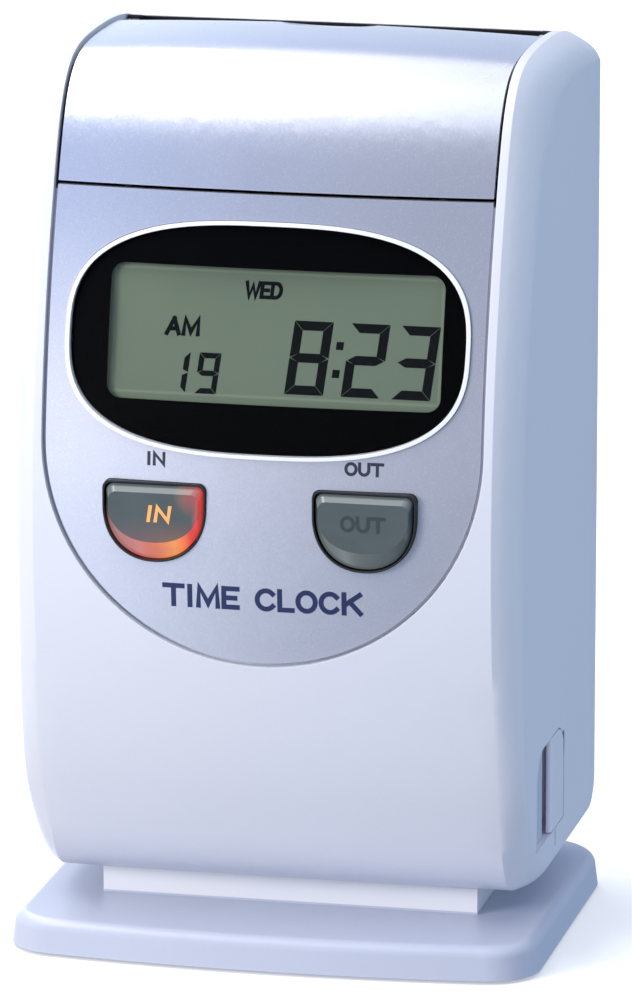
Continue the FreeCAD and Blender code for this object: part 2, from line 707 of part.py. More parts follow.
node("port_plate", port_plate())
node("port_cover", port_cover())
node("port_cover_pin", cyl("z", 0.58, 29.4, DOOR_PIN_X, "door_hinge", "door_low - 1.3"))

# ---------------------------------------------------------------- feed geometry
FEED_Y = dim.card_line + 0.15 + dim.roller_rad
PINCH_Y = dim.card_line - 0.15 - dim.roller_rad
MESH_ANGLE = math.radians(220.0)    # direction from feed gear to pinion
GEAR_DISTANCE = dim.feed_module * (dim.feed_teeth + dim.pinion_teeth) / 2 + 0.1
PINION_Y = FEED_Y + GEAR_DISTANCE * math.cos(MESH_ANGLE)
PINION_Z = dim.feed_z + GEAR_DISTANCE * math.sin(MESH_ANGLE)
BEARING_RADIUS = 4.0


# ---------------------------------------------------------------- chassis
def chassis():
    sheets = []
    legs = []
    for side in SIDES:
        for y0, y1, z0, z1 in ((16.0, 56.5, 60.0, "shelf_z"), (11.0, 40.0, "shelf_z", 237.8),
                               (39.9, 56.5, "shelf_z", 234.0)):
            sheets.append(side_box(side, "plate_half", "plate_half + sheet_mm", y0, y1, z0, z1))
        legs.append(side_box(side, 40.0, 42.0, 20.0, 30.0, 32.0, 60.5))
        legs.append(side_box(side, 32.0, 42.0, 20.0, 30.0, 31.0, 32.6))
    shelf = box(-62.0, 62.0, -12.0, 42.0, "shelf_z", "shelf_z + sheet_mm")
    foot_plate = box("-plate_half - 1", "plate_half + 1", 16.0, 56.5, 60.0, "60 + sheet_mm")
    idler_post = cyl("z", 2.0, 21.0, "-pulley_x", "pulley_y", "shelf_z + 0.5")
    motor_bracket = fuse(box("plate_half + 0.5", 54.6, 26.0, 32.0, 161.0, 169.2),
                         box(53.4, 54.6, 26.0, 55.0, 156.0, 174.5))
    return cut(fuse(*sheets, shelf, foot_plate, idler_post, motor_bracket, *legs),
               cross_bar("rod_rad + run_fit", 55, "rod_y", "rod_low"),
               cross_bar("rod_rad + run_fit", 55, "rod_y", "rod_high"),
               cross_bar(BEARING_RADIUS + 0.05, 53, FEED_Y, "feed_z"),
               cross_bar("shaft_rad + run_fit", 53, PINCH_Y, "feed_z"),
               cyl("z", 2.4, 4, "pulley_x", "pulley_y", "shelf_z - 1"),
               cyl("x", 2.2, 6, 51.5, PINION_Y, PINION_Z))


node("chassis", chassis())


# ---------------------------------------------------------------- card way
def card_plate(y0, y1, *openings):
    return cut(box("-plate_half + 0.2", "plate_half - 0.2", y0, y1, 66.0, 235.0), *openings)


def roller_windows(*rest):
    return [side_box(side, 19.5, 34.5, *rest) for side in SIDES]


def card_chute():
    """Throat under the card slot, with a lip up to the casing surface and a flared mouth."""
    half, rear = dim.panel_half - 0.4, dim.slot_rear - 0.1
    throat = cut(box("-panel_half + 0.4", "panel_half - 0.4", 42.6, "slot_rear - 0.1", 235.4, 246.6),
                 box("-card_half", "card_half", "card_front", "card_rear", 230, 250))
    lip = slab(-half, half, dim.card_rear + 0.05, rear, 246.0, 258.0)
    for side in SIDES:
        lip = lip.fuse(side_slab(side, 58.6, half, 42.6, rear, 246.0, 258.0))
    lip = feature(lip.common(form(0.35)), "slot_lip")
    mouth = [(dim.card_front + 0.4, 244.6), (dim.card_front - 0.6, 246.8),
             (dim.card_rear + 0.6, 246.8), (dim.card_rear - 0.4, 244.6)]
    flare = Part.makePolygon([Vector(-dim.card_half, y, z) for y, z in mouth + mouth[:1]])
    return cut(fuse(throat, lip), feature(extrude(flare, x=2 * dim.card_half), "leadin"))


node("card_front_plate", card_plate(
    "card_front - 0.6", "card_front",
    box(-36, 36, 40, 45, 208, 229), *roller_windows(40, 45, 163, 177),
    box(-4, 4, 40, 45, 183, 191)))
node("card_back_plate", card_plate(
    "card_rear", "card_rear + 0.6",
    box(-43, 43, 48, 52, 207, 229), *roller_windows(48, 52, 163.2, 176.8)))
node("card_chute", card_chute())
node("card_stop", box("-plate_half + 0.3", "plate_half - 0.3", 42.0, 51.0, 62.0, 65.8))
node("platen", box(-42, 42, "card_rear + 0.05", 55.0, 208, 228))
node("card_sensor", box(-3.5, 3.5, 36.0, 43.2, 183.5, 190.5))

# ---------------------------------------------------------------- printing carriage
ROD_HEIGHTS = ("rod_low", "rod_high")
node("guide_rods", group(*[cross_bar("rod_rad", 50, "rod_y", z) for z in ROD_HEIGHTS]))
# block on the rods with a clamp round the belt's rear run
carriage_block = fuse(
    box(-11, 11, 9.6, 22.0, 201, 227),
    box(-7, 7, 6.2, 9.7, "belt_z + belt_wide + 0.4", "belt_z + belt_wide + 2.4"),
    box(-7, 7, 6.2, 9.7, "belt_z - 2.4", "belt_z - 0.4"),
    box(-7, 7, 6.2, 7.5, "belt_z - 2.4", "belt_z + belt_wide + 2.4"))
node("carriage", cut(carriage_block, *[cross_bar("rod_rad + run_fit", 20, "rod_y", z)
                                       for z in ROD_HEIGHTS]))
node("print_head", fuse(
    box(-8, 8, 22.1, 26.0, 207, 226), box(-5, 5, 35.0, 41.4, 213, 225),
    box(-6.5, 6.5, 25.5, 35.5, 210, 225.5),
    *[box(-8, 8, 27.0 + 2.2 * i, 28.0 + 2.2 * i, 208, 226) for i in range(4)]))


def belt_loop(radius, z0, z1):
    """Solid loop form round both pulley axes."""
    x, y = dim.pulley_x, dim.pulley_y
    front_left, front_right = Vector(-x, y - radius, z0), Vector(x, y - radius, z0)
    rear_left, rear_right = Vector(-x, y + radius, z0), Vector(x, y + radius, z0)
    wire = Part.Wire([line(front_left, front_right),
                      arc(front_right, Vector(x + radius, y, z0), rear_right),
                      line(rear_right, rear_left),
                      arc(rear_left, Vector(-x - radius, y, z0), front_left)])
    return extrude(wire, z=z1 - z0)


def pulley(x):
    """Drum and two flanges."""
    return [cyl("z", "pulley_rad", "belt_wide + 1.4", x, "pulley_y", "belt_z - 0.7"),
            cyl("z", 7.6, 0.8, x, "pulley_y", "belt_z - 1.4"),
            cyl("z", 7.6, 0.8, x, "pulley_y", "belt_z + belt_wide + 0.6")]


belt_top = dim.belt_z + dim.belt_wide
node("carriage_belt", belt_loop(dim.pulley_rad + 1.3, dim.belt_z, belt_top).cut(
    belt_loop(dim.pulley_rad + 0.12, dim.belt_z - 1, belt_top + 1)))
node("drive_pulley", fuse(*pulley("pulley_x"), cyl("z", 1.5, 26.0, "pulley_x", "pulley_y", 186.0)))
node("idler_pulley", cut(fuse(*pulley("-pulley_x")),
                         cyl("z", "2 + run_fit", 20, "-pulley_x", "pulley_y", 205)))
node("carriage_motor", cut(
    fuse(cyl("z", 12.0, 15.0, "pulley_x", "pulley_y", 182.6),
         box(35.5, 64.0, "pulley_y - 5", "pulley_y + 5", 196.4, 197.6)),
    cyl("z", "1.5 + run_fit", 13.0, "pulley_x", "pulley_y", 185.0)))

# ---------------------------------------------------------------- ribbon
KNOB_X, KNOB_Y = 40, 8
cassette_body = fuse(box(-56, 56, -8.0, 33.5, 238.0, 246.0),
                     box(38, 44.5, 33.0, 41.5, 212, 243), box(-44.5, -38, 33.0, 41.5, 212, 243))
node("ribbon_cassette", cut(cassette_body, cyl("z", "2.5 + run_fit", 12, KNOB_X, KNOB_Y, 239.5)))
node("ink_ribbon", box(-44.0, 44.0, 41.65, 41.85, 213.0, 225.0))
node("ribbon_knob", fuse(cyl("z", 5.0, 3.0, KNOB_X, KNOB_Y, 246.2),
                         cyl("z", 2.5, 6.4, KNOB_X, KNOB_Y, 239.9),
                         box(KNOB_X - 0.6, KNOB_X + 0.6, KNOB_Y - 5, KNOB_Y + 5, 249.1, 250.0)))


# ---------------------------------------------------------------- card feed
def gear(teeth, x, width, mid_y, mid_z, phase):
    """Gear with straight-sided teeth, its axis along X."""
    module = dim.feed_module
    pitch_radius = module * teeth / 2
    tip, root = pitch_radius + 0.85 * module, pitch_radius - 1.2 * module
    pitch = 2 * math.pi / teeth
    points = []
    for i in range(int(teeth)):
        middle = phase + i * pitch
        # radius, offset from the tooth's middle in pitches
        for radius, offset in ((root, -0.27), (tip, -0.115), (tip, 0.115), (root, 0.27)):
            angle = middle + offset * pitch
            points.append(Vector(x, mid_y + radius * math.cos(angle),
                                 mid_z + radius * math.sin(angle)))
    return extrude(Part.makePolygon(points + points[:1]), x=width)


def rollers(y):
    return group(*[cut(cyl("x", "roller_rad", 13.0, x, y, "feed_z"),
                       cyl("x", "shaft_rad + press_fit", 15.0, x - 1, y, "feed_z"))
                   for x in (20.5, -33.5)])


node("feed_shaft", cyl("x", "shaft_rad", 104.0, -51.4, FEED_Y, "feed_z"))
node("feed_rollers", rollers(FEED_Y))
feed_bore = rod("x", dim.shaft_rad + dim.press_fit, 5.6, 47.6, FEED_Y, dim.feed_z)
node("feed_gear", gear(dim.feed_teeth, 48.6, 3.6, FEED_Y, dim.feed_z, MESH_ANGLE).cut(feed_bore))
# turned by half a pitch, so that a gap faces the feed gear's tooth
pinion = gear(dim.pinion_teeth, 48.4, 4.0, PINION_Y, PINION_Z,
              MESH_ANGLE + math.pi + math.pi / dim.pinion_teeth)
node("feed_pinion", pinion.fuse(rod("x", 1.0, 12.0, 52.0, PINION_Y, PINION_Z)))
node("feed_motor", cut(cyl("x", 9.0, 12.0, 54.7, PINION_Y, PINION_Z),
                       cyl("x", "1 + run_fit", 10.5, 54.0, PINION_Y, PINION_Z)))
node("pinch_shaft", cross_bar("shaft_rad", 48, PINCH_Y, "feed_z"))
node("pinch_rollers", rollers(PINCH_Y))
node("shaft_bearings", group(*[cut(cyl("x", BEARING_RADIUS, 1.6, x, FEED_Y, "feed_z"),
                                   cyl("x", "shaft_rad + run_fit", 4, x - 1, FEED_Y, "feed_z"))
                               for x in (45.8, -47.4)]))

# ---------------------------------------------------------------- setting keys under the lid
SET_Y, SET_Z = -26.0, 229.0     # tilt axis: front face of the plate at mid height
SET_TILT = -22.5
SET_KEYS = (("set_key", -16.0), ("up_key", 0.0), ("down_key", 16.0))  # name, x


def set_tilt(shape):
    shape.rotate(Vector(0, SET_Y, SET_Z), AXES["x"], SET_TILT)
    return shape


def settings_panel():
    plate = cut(box(-46, 46, SET_Y, -24.4, 220.5, 237.5),
                *[cyl("y", 3.15, 6, x, -28, SET_Z) for _, x in SET_KEYS])
    doc.recompute()
    panel = set_tilt(plate.Shape.copy())
    for side in SIDES:
        leg = side_slab(side, 43.5, 45.5, -27.6, -10.0, dim.shelf_z + dim.sheet_mm + 0.05, 226.0)
        panel = panel.fuse(leg.cut(slab(-60, 60, -60, -24.1, 190, 216)))
    return panel


node("settings_panel", settings_panel())
for name, x in SET_KEYS:
    stem = rod("y", 3.0, 5.2, x, -28.0, SET_Z)
    node(name, set_tilt(stem.fuse(rod("y", 3.9, 0.8, x, -23.6, SET_Z))))

# ---------------------------------------------------------------- stand
FEET = [(side * 60.0, y) for side in SIDES for y in (-38.0, 46.0)]  # x, y


def stand_outline():
    """Foot outline: bowed front edge and rounded corners, taken from a filleted block."""
    half, rear, low = dim.stand_half, dim.stand_rear, dim.stand_low
    corner_y = dim.stand_front + dim.stand_bow
    front_left, front_right = Vector(-half, corner_y, low), Vector(half, corner_y, low)
    rear_left, rear_right = Vector(-half, rear, low), Vector(half, rear, low)
    wire = Part.Wire([arc(front_left, Vector(0, dim.stand_front, low), front_right),
                      line(front_right, rear_right), line(rear_right, rear_left),
                      line(rear_left, front_left)])
    block = extrude(wire, z=dim.stand_top - low)
    block = block.makeFillet(15.0, [edge for edge in block.Edges
                                    if edge.BoundBox.ZLength > 5 and edge.BoundBox.YMax < 0])
    block = block.makeFillet(18.0, [edge for edge in block.Edges
                                    if edge.BoundBox.ZLength > 5 and edge.BoundBox.YMax > 50
                                    and edge.BoundBox.YLength < 0.01])
    bottom = [face for face in block.Faces if face.BoundBox.ZMax < low + 0.01][0]
    return feature(Part.Wire(Part.__sortEdges__(bottom.OuterWire.Edges)), "stand_outline")


def stand():
    tapered = doc.addObject("Part::Extrusion", "stand_block")
    tapered.Base = stand_outline()
    tapered.DirMode = "Custom"
    tapered.Dir = AXES["z"]
    put(tapered, "LengthFwd", "stand_top - stand_low")
    tapered.Solid = True
    tapered.TaperAngle = -dim.stand_taper
    doc.recompute()
    # the sign that narrows the block upwards depends on the outline's direction
    if tapered.Shape.BoundBox.XLength > 2 * dim.stand_half + 0.5:
        tapered.TaperAngle = dim.stand_taper
        doc.recompute()
    rounded = doc.addObject("Part::Fillet", "stand_edge")
    rounded.Base = tapered
    rounded.Edges = [(i, 3.6, 3.6) for i, edge in enumerate(tapered.Shape.Edges, 1)
                     if abs(edge.BoundBox.ZMin - dim.stand_top) < 0.05
                     and abs(edge.BoundBox.ZMax - dim.stand_top) < 0.05]
    doc.recompute()
    plinth = box("-plinth_half", "plinth_half", "plinth_front", 55.0, "stand_top - 1", "plinth_top")
    tools = []
    for x, y in STAND_FIXES:
        tools += [cyl("z", 1.8, 30, x, y, 0), cyl("z", 3.4, 8.0, x, y, 0)]
    tools += [cyl("z", "foot_rad + 0.1", 2.0, x, y, 0) for x, y in FEET]
    return cut(fuse(rounded, plinth), *tools)


node("stand", stand())
node("rubber_feet", group(*[cyl("z", "foot_rad", 1.9, x, y, 0) for x, y in FEET]))


# ---------------------------------------------------------------- screws
def screw(start, direction, head_radius, head_length, length, shank=1.45):
    """Pan head screw with a cross recess: head at start, shank along direction."""
    body = Part.makeCylinder(head_radius, head_length, start, direction)
    body = body.fuse(Part.makeCylinder(shank, head_length + length, start, direction))
    reach, half, deep = head_radius * 0.6, 0.35, 0.9
    recess = slab(-reach, reach, -half, half, 0, deep)
    recess = recess.fuse(slab(-half, half, -reach, reach, 0, deep))
    recess.Placement = FreeCAD.Placement(start, FreeCAD.Rotation(AXES["z"], direction))
    return body.cut(recess)


node("stand_screws", Part.makeCompound([
    screw(Vector(x, y, 6.0), AXES["z"], head_radius=3.0, head_length=1.9, length=20.0)
    for x, y in STAND_FIXES]))
node("case_screws", Part.makeCompound([
    screw(Vector(x, dim.rear_y - 0.5, z), Vector(0, -1, 0),
          head_radius=2.8, head_length=2.0, length=13.0)
    for x, z in BOSSES]))

# ---------------------------------------------------------------- validate and export
doc.recompute()
broken = [obj.Label for obj in doc.Objects
          if any(state in ("Invalid", "Error") for state in obj.State)]
if broken:
    raise SystemExit("objects in error: %s" % broken)
for name, obj in NODES:
    shape = obj.Shape
    if shape.isNull() or not shape.isValid() or not shape.Solids:
        raise SystemExit("bad shape: %s" % name)
for name, obj in NODES:
    shape = obj.Shape
    if len(shape.Solids) == 1:
        shape = shape.Solids[0]
    shape.exportStep("parts/%s.step" % name)
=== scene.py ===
# Punch time clock: materials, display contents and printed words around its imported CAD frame.
# The scene is in metres, +Z up, the front faces -Y and +X is the viewer's right.
# Places and sizes marked mm are turned into metres with MM.
import bpy, bmesh, json, math
from mathutils import Vector, Matrix
from mathutils.bvhtree import BVHTree
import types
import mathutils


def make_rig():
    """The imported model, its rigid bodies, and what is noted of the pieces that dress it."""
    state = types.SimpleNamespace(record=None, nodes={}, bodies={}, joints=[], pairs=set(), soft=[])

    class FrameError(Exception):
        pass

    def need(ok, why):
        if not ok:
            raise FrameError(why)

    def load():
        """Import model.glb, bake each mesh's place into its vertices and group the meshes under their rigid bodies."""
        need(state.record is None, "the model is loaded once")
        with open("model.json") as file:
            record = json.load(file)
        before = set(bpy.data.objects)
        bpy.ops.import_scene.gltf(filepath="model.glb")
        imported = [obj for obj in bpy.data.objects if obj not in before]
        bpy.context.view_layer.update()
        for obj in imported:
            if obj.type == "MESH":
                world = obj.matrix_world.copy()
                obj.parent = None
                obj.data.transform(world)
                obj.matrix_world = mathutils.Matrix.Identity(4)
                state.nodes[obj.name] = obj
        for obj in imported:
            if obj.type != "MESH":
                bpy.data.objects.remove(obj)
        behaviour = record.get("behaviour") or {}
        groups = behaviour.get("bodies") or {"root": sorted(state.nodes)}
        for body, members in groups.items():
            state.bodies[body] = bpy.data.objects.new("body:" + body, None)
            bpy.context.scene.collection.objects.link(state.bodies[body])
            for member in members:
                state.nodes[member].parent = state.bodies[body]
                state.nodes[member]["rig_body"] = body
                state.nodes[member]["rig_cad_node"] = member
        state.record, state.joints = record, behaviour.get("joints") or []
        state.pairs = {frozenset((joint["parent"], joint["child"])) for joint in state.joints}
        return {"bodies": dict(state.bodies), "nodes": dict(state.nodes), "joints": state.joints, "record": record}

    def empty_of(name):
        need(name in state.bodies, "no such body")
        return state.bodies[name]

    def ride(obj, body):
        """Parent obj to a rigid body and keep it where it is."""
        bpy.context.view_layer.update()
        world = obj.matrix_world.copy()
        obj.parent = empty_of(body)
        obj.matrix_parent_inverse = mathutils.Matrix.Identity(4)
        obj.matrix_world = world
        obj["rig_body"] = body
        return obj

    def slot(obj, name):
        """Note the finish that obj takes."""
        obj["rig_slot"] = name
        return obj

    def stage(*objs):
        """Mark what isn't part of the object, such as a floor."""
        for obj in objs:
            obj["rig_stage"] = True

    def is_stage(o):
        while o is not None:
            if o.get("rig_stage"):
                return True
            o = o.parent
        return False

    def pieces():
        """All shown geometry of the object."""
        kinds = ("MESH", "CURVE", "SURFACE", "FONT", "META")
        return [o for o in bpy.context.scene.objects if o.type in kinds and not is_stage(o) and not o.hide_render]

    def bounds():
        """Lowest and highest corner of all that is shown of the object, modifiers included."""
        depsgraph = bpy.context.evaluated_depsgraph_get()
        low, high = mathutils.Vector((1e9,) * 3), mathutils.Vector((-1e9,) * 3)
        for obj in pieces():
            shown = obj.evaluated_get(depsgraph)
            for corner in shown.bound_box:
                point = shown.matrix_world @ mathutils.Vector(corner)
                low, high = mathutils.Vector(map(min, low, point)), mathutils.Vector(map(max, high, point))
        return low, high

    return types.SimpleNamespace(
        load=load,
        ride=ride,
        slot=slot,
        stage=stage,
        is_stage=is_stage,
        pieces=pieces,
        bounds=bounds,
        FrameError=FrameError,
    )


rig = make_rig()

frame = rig.load()
cad_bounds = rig.bounds()
parts = frame["nodes"]
scene = bpy.context.scene

MM = 0.001
WHITE = (1, 1, 1, 1)

# Display plane: leans back about its pivot
LCD_PIVOT = Vector((2.6, -49.2, 180.6)) * MM
LCD_TILT = math.radians(-12.5)
LCD_UP = Vector((0, -math.sin(LCD_TILT), math.cos(LCD_TILT)))
LCD_OUT = Vector((0, -math.cos(LCD_TILT), -math.sin(LCD_TILT)))     # towards the viewer
LCD_HALF_WIDTH, LCD_HALF_HEIGHT = 0.0470, 0.0180                    # visible window, metres

# Punch buttons, mm: in on the left, out on the right
BUTTON_X = 29.6
BUTTON_Z = 128.9
CAP_FACE_Y = -62.1

# Rear rating label, mm
LABEL_HALF_WIDTH = 37.4
LABEL_BOTTOM, LABEL_TOP = 60.6, 95.4
LABEL_Y, LABEL_THICK = 59.5, 0.15

PANEL_Y = -0.0595            # metres, used where a ray misses the display panel
SPLIT_LENGTH = 1.2           # mm, longest straight piece of a printed stroke


def srgb(*channels):
    """Linear RGBA from 0-255 sRGB."""
    def linear(c):
        return (c / 255 / 12.92) if c / 255 <= 0.04045 else ((c / 255 + 0.055) / 1.055) ** 2.4
    return (*map(linear, channels), 1.0)


def scaled(colour, factor):
    return tuple(min(1, c * factor) for c in colour[:3]) + (1,)


# ------------------------------------------------------------------ node helpers
class Nodes:
    """Shorthand for filling a shader tree; inputs may be sockets or plain values."""

    def __init__(self, tree):
        self.tree = tree
        tree.nodes.clear()

    def node(self, kind, **props):
        node = self.tree.nodes.new(kind)
        for key, value in props.items():
            setattr(node, key, value)
        return node

    def link(self, source, target):
        self.tree.links.new(source, target)

    def feed(self, socket, value):
        if hasattr(value, "is_output"):
            self.link(value, socket)
        else:
            socket.default_value = value

    def math(self, op, a, b=0.0, c=0.0, clamp=False):
        node = self.node("ShaderNodeMath", operation=op, use_clamp=clamp)
        for socket, value in zip(node.inputs, (a, b, c)):
            self.feed(socket, value)
        return node.outputs[0]

    def add(self, a, b):
        return self.math("ADD", a, b)

    def sub(self, a, b, clamp=False):
        return self.math("SUBTRACT", a, b, clamp=clamp)

    def mul(self, a, b, clamp=False):
        return self.math("MULTIPLY", a, b, clamp=clamp)

    def linear(self, value, gain, offset, clamp=False):
        return self.math("MULTIPLY_ADD", value, gain, offset, clamp)

    def fade(self, distance, gain):
        """1 at no distance, falling to 0 at 1 / gain."""
        return self.sub(1.0, self.mul(distance, gain), clamp=True)

    def split(self, vector):
        node = self.node("ShaderNodeSeparateXYZ")
        self.link(vector, node.inputs[0])
        return node.outputs

    def ramp(self, fac, stops):
        """Colour ramp; each stop is a position and a grey value or colour."""
        node = self.node("ShaderNodeValToRGB")
        elements = node.color_ramp.elements
        while len(elements) > 1:
            elements.remove(elements[-1])
        for i, (position, colour) in enumerate(stops):
            element = elements.new(position) if i else elements[0]
            element.position = position
            grey = isinstance(colour, (int, float))
            element.color = (colour,) * 3 + (1.0,) if grey else (*colour[:3], 1.0)
        self.link(fac, node.inputs["Fac"])
        return node.outputs["Color"]

    def mix(self, fac, a, b, blend="MIX"):
        node = self.node("ShaderNodeMix", data_type="RGBA", blend_type=blend)
        for i, value in ((0, fac), (6, a), (7, b)):      # 6 and 7 are the colour inputs
            self.feed(node.inputs[i], value)
        return node.outputs[2]

    def tint(self, tone, colour, mask, amount):
        """Move a tone towards a colour where the mask is high."""
        return self.mix(self.mul(mask, amount), tone, colour)

    def mix_shader(self, fac, a, b):
        node = self.node("ShaderNodeMixShader")
        for socket, source in zip(node.inputs, (fac, a, b)):
            self.link(source, socket)
        return node.outputs[0]


MATERIALS = {}


class Mat(Nodes):
    """A node material on object coordinates in metres, kept in MATERIALS under its name."""

    def __init__(self, name):
        material = MATERIALS[name] = bpy.data.materials.new(name)
        material.use_nodes = True
        super().__init__(material.node_tree)
        self.out = self.node("ShaderNodeOutputMaterial")
        self.coord = self.node("ShaderNodeTexCoord").outputs["Object"]

    def vmath(self, op, a, b=None):
        node = self.node("ShaderNodeVectorMath", operation=op)
        self.feed(node.inputs[0], a)
        if b is not None:
            self.feed(node.inputs[1], b)
        return node.outputs["Value" if op == "DOT_PRODUCT" else "Vector"]

    def noise(self, scale, detail=3.0, rough=0.55, stretch=None):
        node = self.node("ShaderNodeTexNoise")
        node.inputs["Scale"].default_value = scale
        node.inputs["Detail"].default_value = detail
        node.inputs["Roughness"].default_value = rough
        source = self.mapping("Scale", stretch) if stretch else self.coord
        self.link(source, node.inputs["Vector"])
        return node.outputs["Fac"]

    def mapping(self, field, value):
        node = self.node("ShaderNodeMapping")
        node.inputs[field].default_value = value
        self.link(self.coord, node.inputs["Vector"])
        return node.outputs["Vector"]

    def cells(self, scale):
        """A random colour for each Voronoi cell, whole and as separate channels."""
        voronoi = self.node("ShaderNodeTexVoronoi")
        voronoi.inputs["Scale"].default_value = scale
        self.link(self.coord, voronoi.inputs["Vector"])
        separate = self.node("ShaderNodeSeparateColor")
        self.link(voronoi.outputs["Color"], separate.inputs[0])
        return voronoi.outputs["Color"], separate.outputs

    def bevel(self, radius):
        node = self.node("ShaderNodeBevel", samples=4)
        node.inputs["Radius"].default_value = radius
        return node.outputs["Normal"]

    def bump(self, height, strength, distance, normal=None):
        node = self.node("ShaderNodeBump")
        node.inputs["Strength"].default_value = strength
        node.inputs["Distance"].default_value = distance
        self.link(height, node.inputs["Height"])
        if normal is not None:
            self.link(normal, node.inputs["Normal"])
        return node.outputs["Normal"]

    def edges(self, radius, gain):
        """0 on flat surface, 1 on edges."""
        geometry = self.node("ShaderNodeNewGeometry")
        facing = self.vmath("DOT_PRODUCT", self.bevel(radius), geometry.outputs["Normal"])
        return self.mul(self.sub(1.0, facing), gain, clamp=True)

    def principled(self, **inputs):
        """Surface shader; underscores in the names stand for spaces."""
        node = self.node("ShaderNodeBsdfPrincipled")
        for key, value in inputs.items():
            self.feed(node.inputs[key.replace("_", " ")], value)
        self.link(node.outputs[0], self.out.inputs["Surface"])


# ------------------------------------------------------------------ material kinds
def plastic(name, base, rough=0.42, vary=0.04, grain=900.0, grain_h=0.000012, coat=0.15,
            bevel=0.0004, edge=0.25, highlight_colour=WHITE, painted_light_above=None, painted_glow=0.0):
    """Moulded plastic: spark-eroded grain, slight tone drift, glossier edges tinted lighter as a painted highlight,
    handling marks.

    One more argument is a height in metres and the colour of the plastic over it: painted light that lifts the shade
    there."""
    m = Mat(name)
    tone = m.mix(m.noise(scale=9.0, detail=2.0), scaled(base, 1 - vary * 1.6),
                 scaled(base, 1 + vary))
    tone = m.tint(tone, scaled(base, 0.82), mask=m.noise(grain * 0.8, detail=2.0), amount=0.16)
    # Painted light: over the given height the plastic is tinted to the lighter colour.
    if painted_light_above:
        height, colour = painted_light_above
        over = m.sub(m.split(m.coord)[2], height)
        tone = m.mix(m.mul(over, 3000.0, clamp=True), tone, colour)
    # Painted highlight: edges are tinted lighter towards the highlight colour, and made glossier below.
    highlight_mask = m.edges(radius=bevel * 2.2, gain=2.2)
    tone = m.tint(tone, highlight_colour, mask=highlight_mask, amount=edge)
    smear = m.ramp(m.noise(scale=24.0, detail=5.0, rough=0.65), [(0.42, 0.0), (0.72, 1.0)])
    roughness = m.add(m.mul(smear, 0.06), rough)         # marks are duller, edges glossier
    roughness = m.sub(roughness, m.mul(highlight_mask, 0.10))
    normal = m.bump(m.noise(grain), strength=0.35, distance=grain_h, normal=m.bevel(bevel))
    # Emission makes the plastic shine in its own colour: painted light.
    m.principled(Base_Color=tone, Roughness=roughness, Coat_Weight=coat, Coat_Roughness=0.25,
                 Specular_IOR_Level=0.5, Normal=normal,
                 Emission_Color=base, Emission_Strength=painted_glow)


def metal(name, base, rough, brushed=(1, 1, 1), metallic=1.0, vary=0.08):
    """Bare metal; brushed stretches the streaks along an axis."""
    m = Mat(name)
    bevel = 0.0002
    streak = m.noise(scale=420.0, detail=4.0, rough=0.6, stretch=brushed)
    tone = m.mix(streak, scaled(base, 1 - vary), scaled(base, 1 + vary))
    roughness = m.add(rough, m.mul(m.sub(streak, 0.5), 0.22))
    # Painted highlight: edges are tinted lighter.
    highlight_mask = m.edges(radius=bevel * 2, gain=2.0)
    tone = m.tint(tone, (0.9, 0.9, 0.9, 1), mask=highlight_mask, amount=0.3)
    normal = m.bump(streak, strength=0.25, distance=0.00001, normal=m.bevel(bevel))
    m.principled(Base_Color=tone, Metallic=metallic, Roughness=roughness, Normal=normal)


def silver_paint(name, base):
    """Metallic lacquer: flakes of about 0.3 mm with their own tilt and tone under clear coat; the brightest flakes are
    tinted white as a painted glint, and edges are tinted lighter as a painted highlight.
    """
    m = Mat(name)
    cell, channels = m.cells(scale=3800.0)
    painted_glint = m.ramp(channels[0], [(0.0, 0.0), (0.86, 0.06), (1.0, 1.0)])
    tone = m.mix(m.noise(scale=14.0, detail=2.0), scaled(base, 0.95), scaled(base, 1.04))
    tone = m.tint(tone, scaled(base, 0.72), mask=channels[1], amount=0.16)
    # Painted glint: a few flakes are tinted white.
    tone = m.tint(tone, WHITE, mask=painted_glint, amount=0.38)
    # Painted highlight: edges are tinted lighter.
    tone = m.tint(tone, WHITE, mask=m.edges(radius=0.0008, gain=2.0), amount=0.3)
    tilt = m.node("ShaderNodeVectorMath", operation="SCALE")
    m.link(m.vmath("SUBTRACT", cell, (0.5, 0.5, 0.5)), tilt.inputs[0])
    tilt.inputs["Scale"].default_value = 0.045
    ripple = m.bump(m.noise(scale=700.0), strength=0.15, distance=0.00001)
    normal = m.vmath("NORMALIZE", m.vmath("ADD", ripple, tilt.outputs[0]))
    roughness = m.add(0.25, m.mul(m.noise(scale=30.0, detail=4.0), 0.07))
    m.principled(Base_Color=tone, Metallic=0.62, Roughness=roughness, Coat_Weight=0.5,
                 Coat_Roughness=0.12, Normal=normal)


def circuit_board(name):
    """Solder-masked board: copper tracks under the mask and a faint weave."""
    m = Mat(name)
    brick = m.node("ShaderNodeTexBrick")
    brick.inputs["Scale"].default_value = 160.0
    brick.inputs["Mortar Size"].default_value = 0.035
    m.link(m.mapping("Rotation", (math.radians(90), 0, 0)), brick.inputs["Vector"])
    tracks = brick.outputs["Fac"]
    tone = m.mix(tracks, srgb(18, 82, 48), srgb(48, 128, 74))
    tone = m.tint(tone, srgb(10, 60, 36), mask=m.noise(scale=60.0), amount=0.3)
    normal = m.bump(tracks, strength=0.4, distance=0.00004)
    m.principled(Base_Color=tone, Roughness=0.32, Coat_Weight=0.4, Normal=normal)


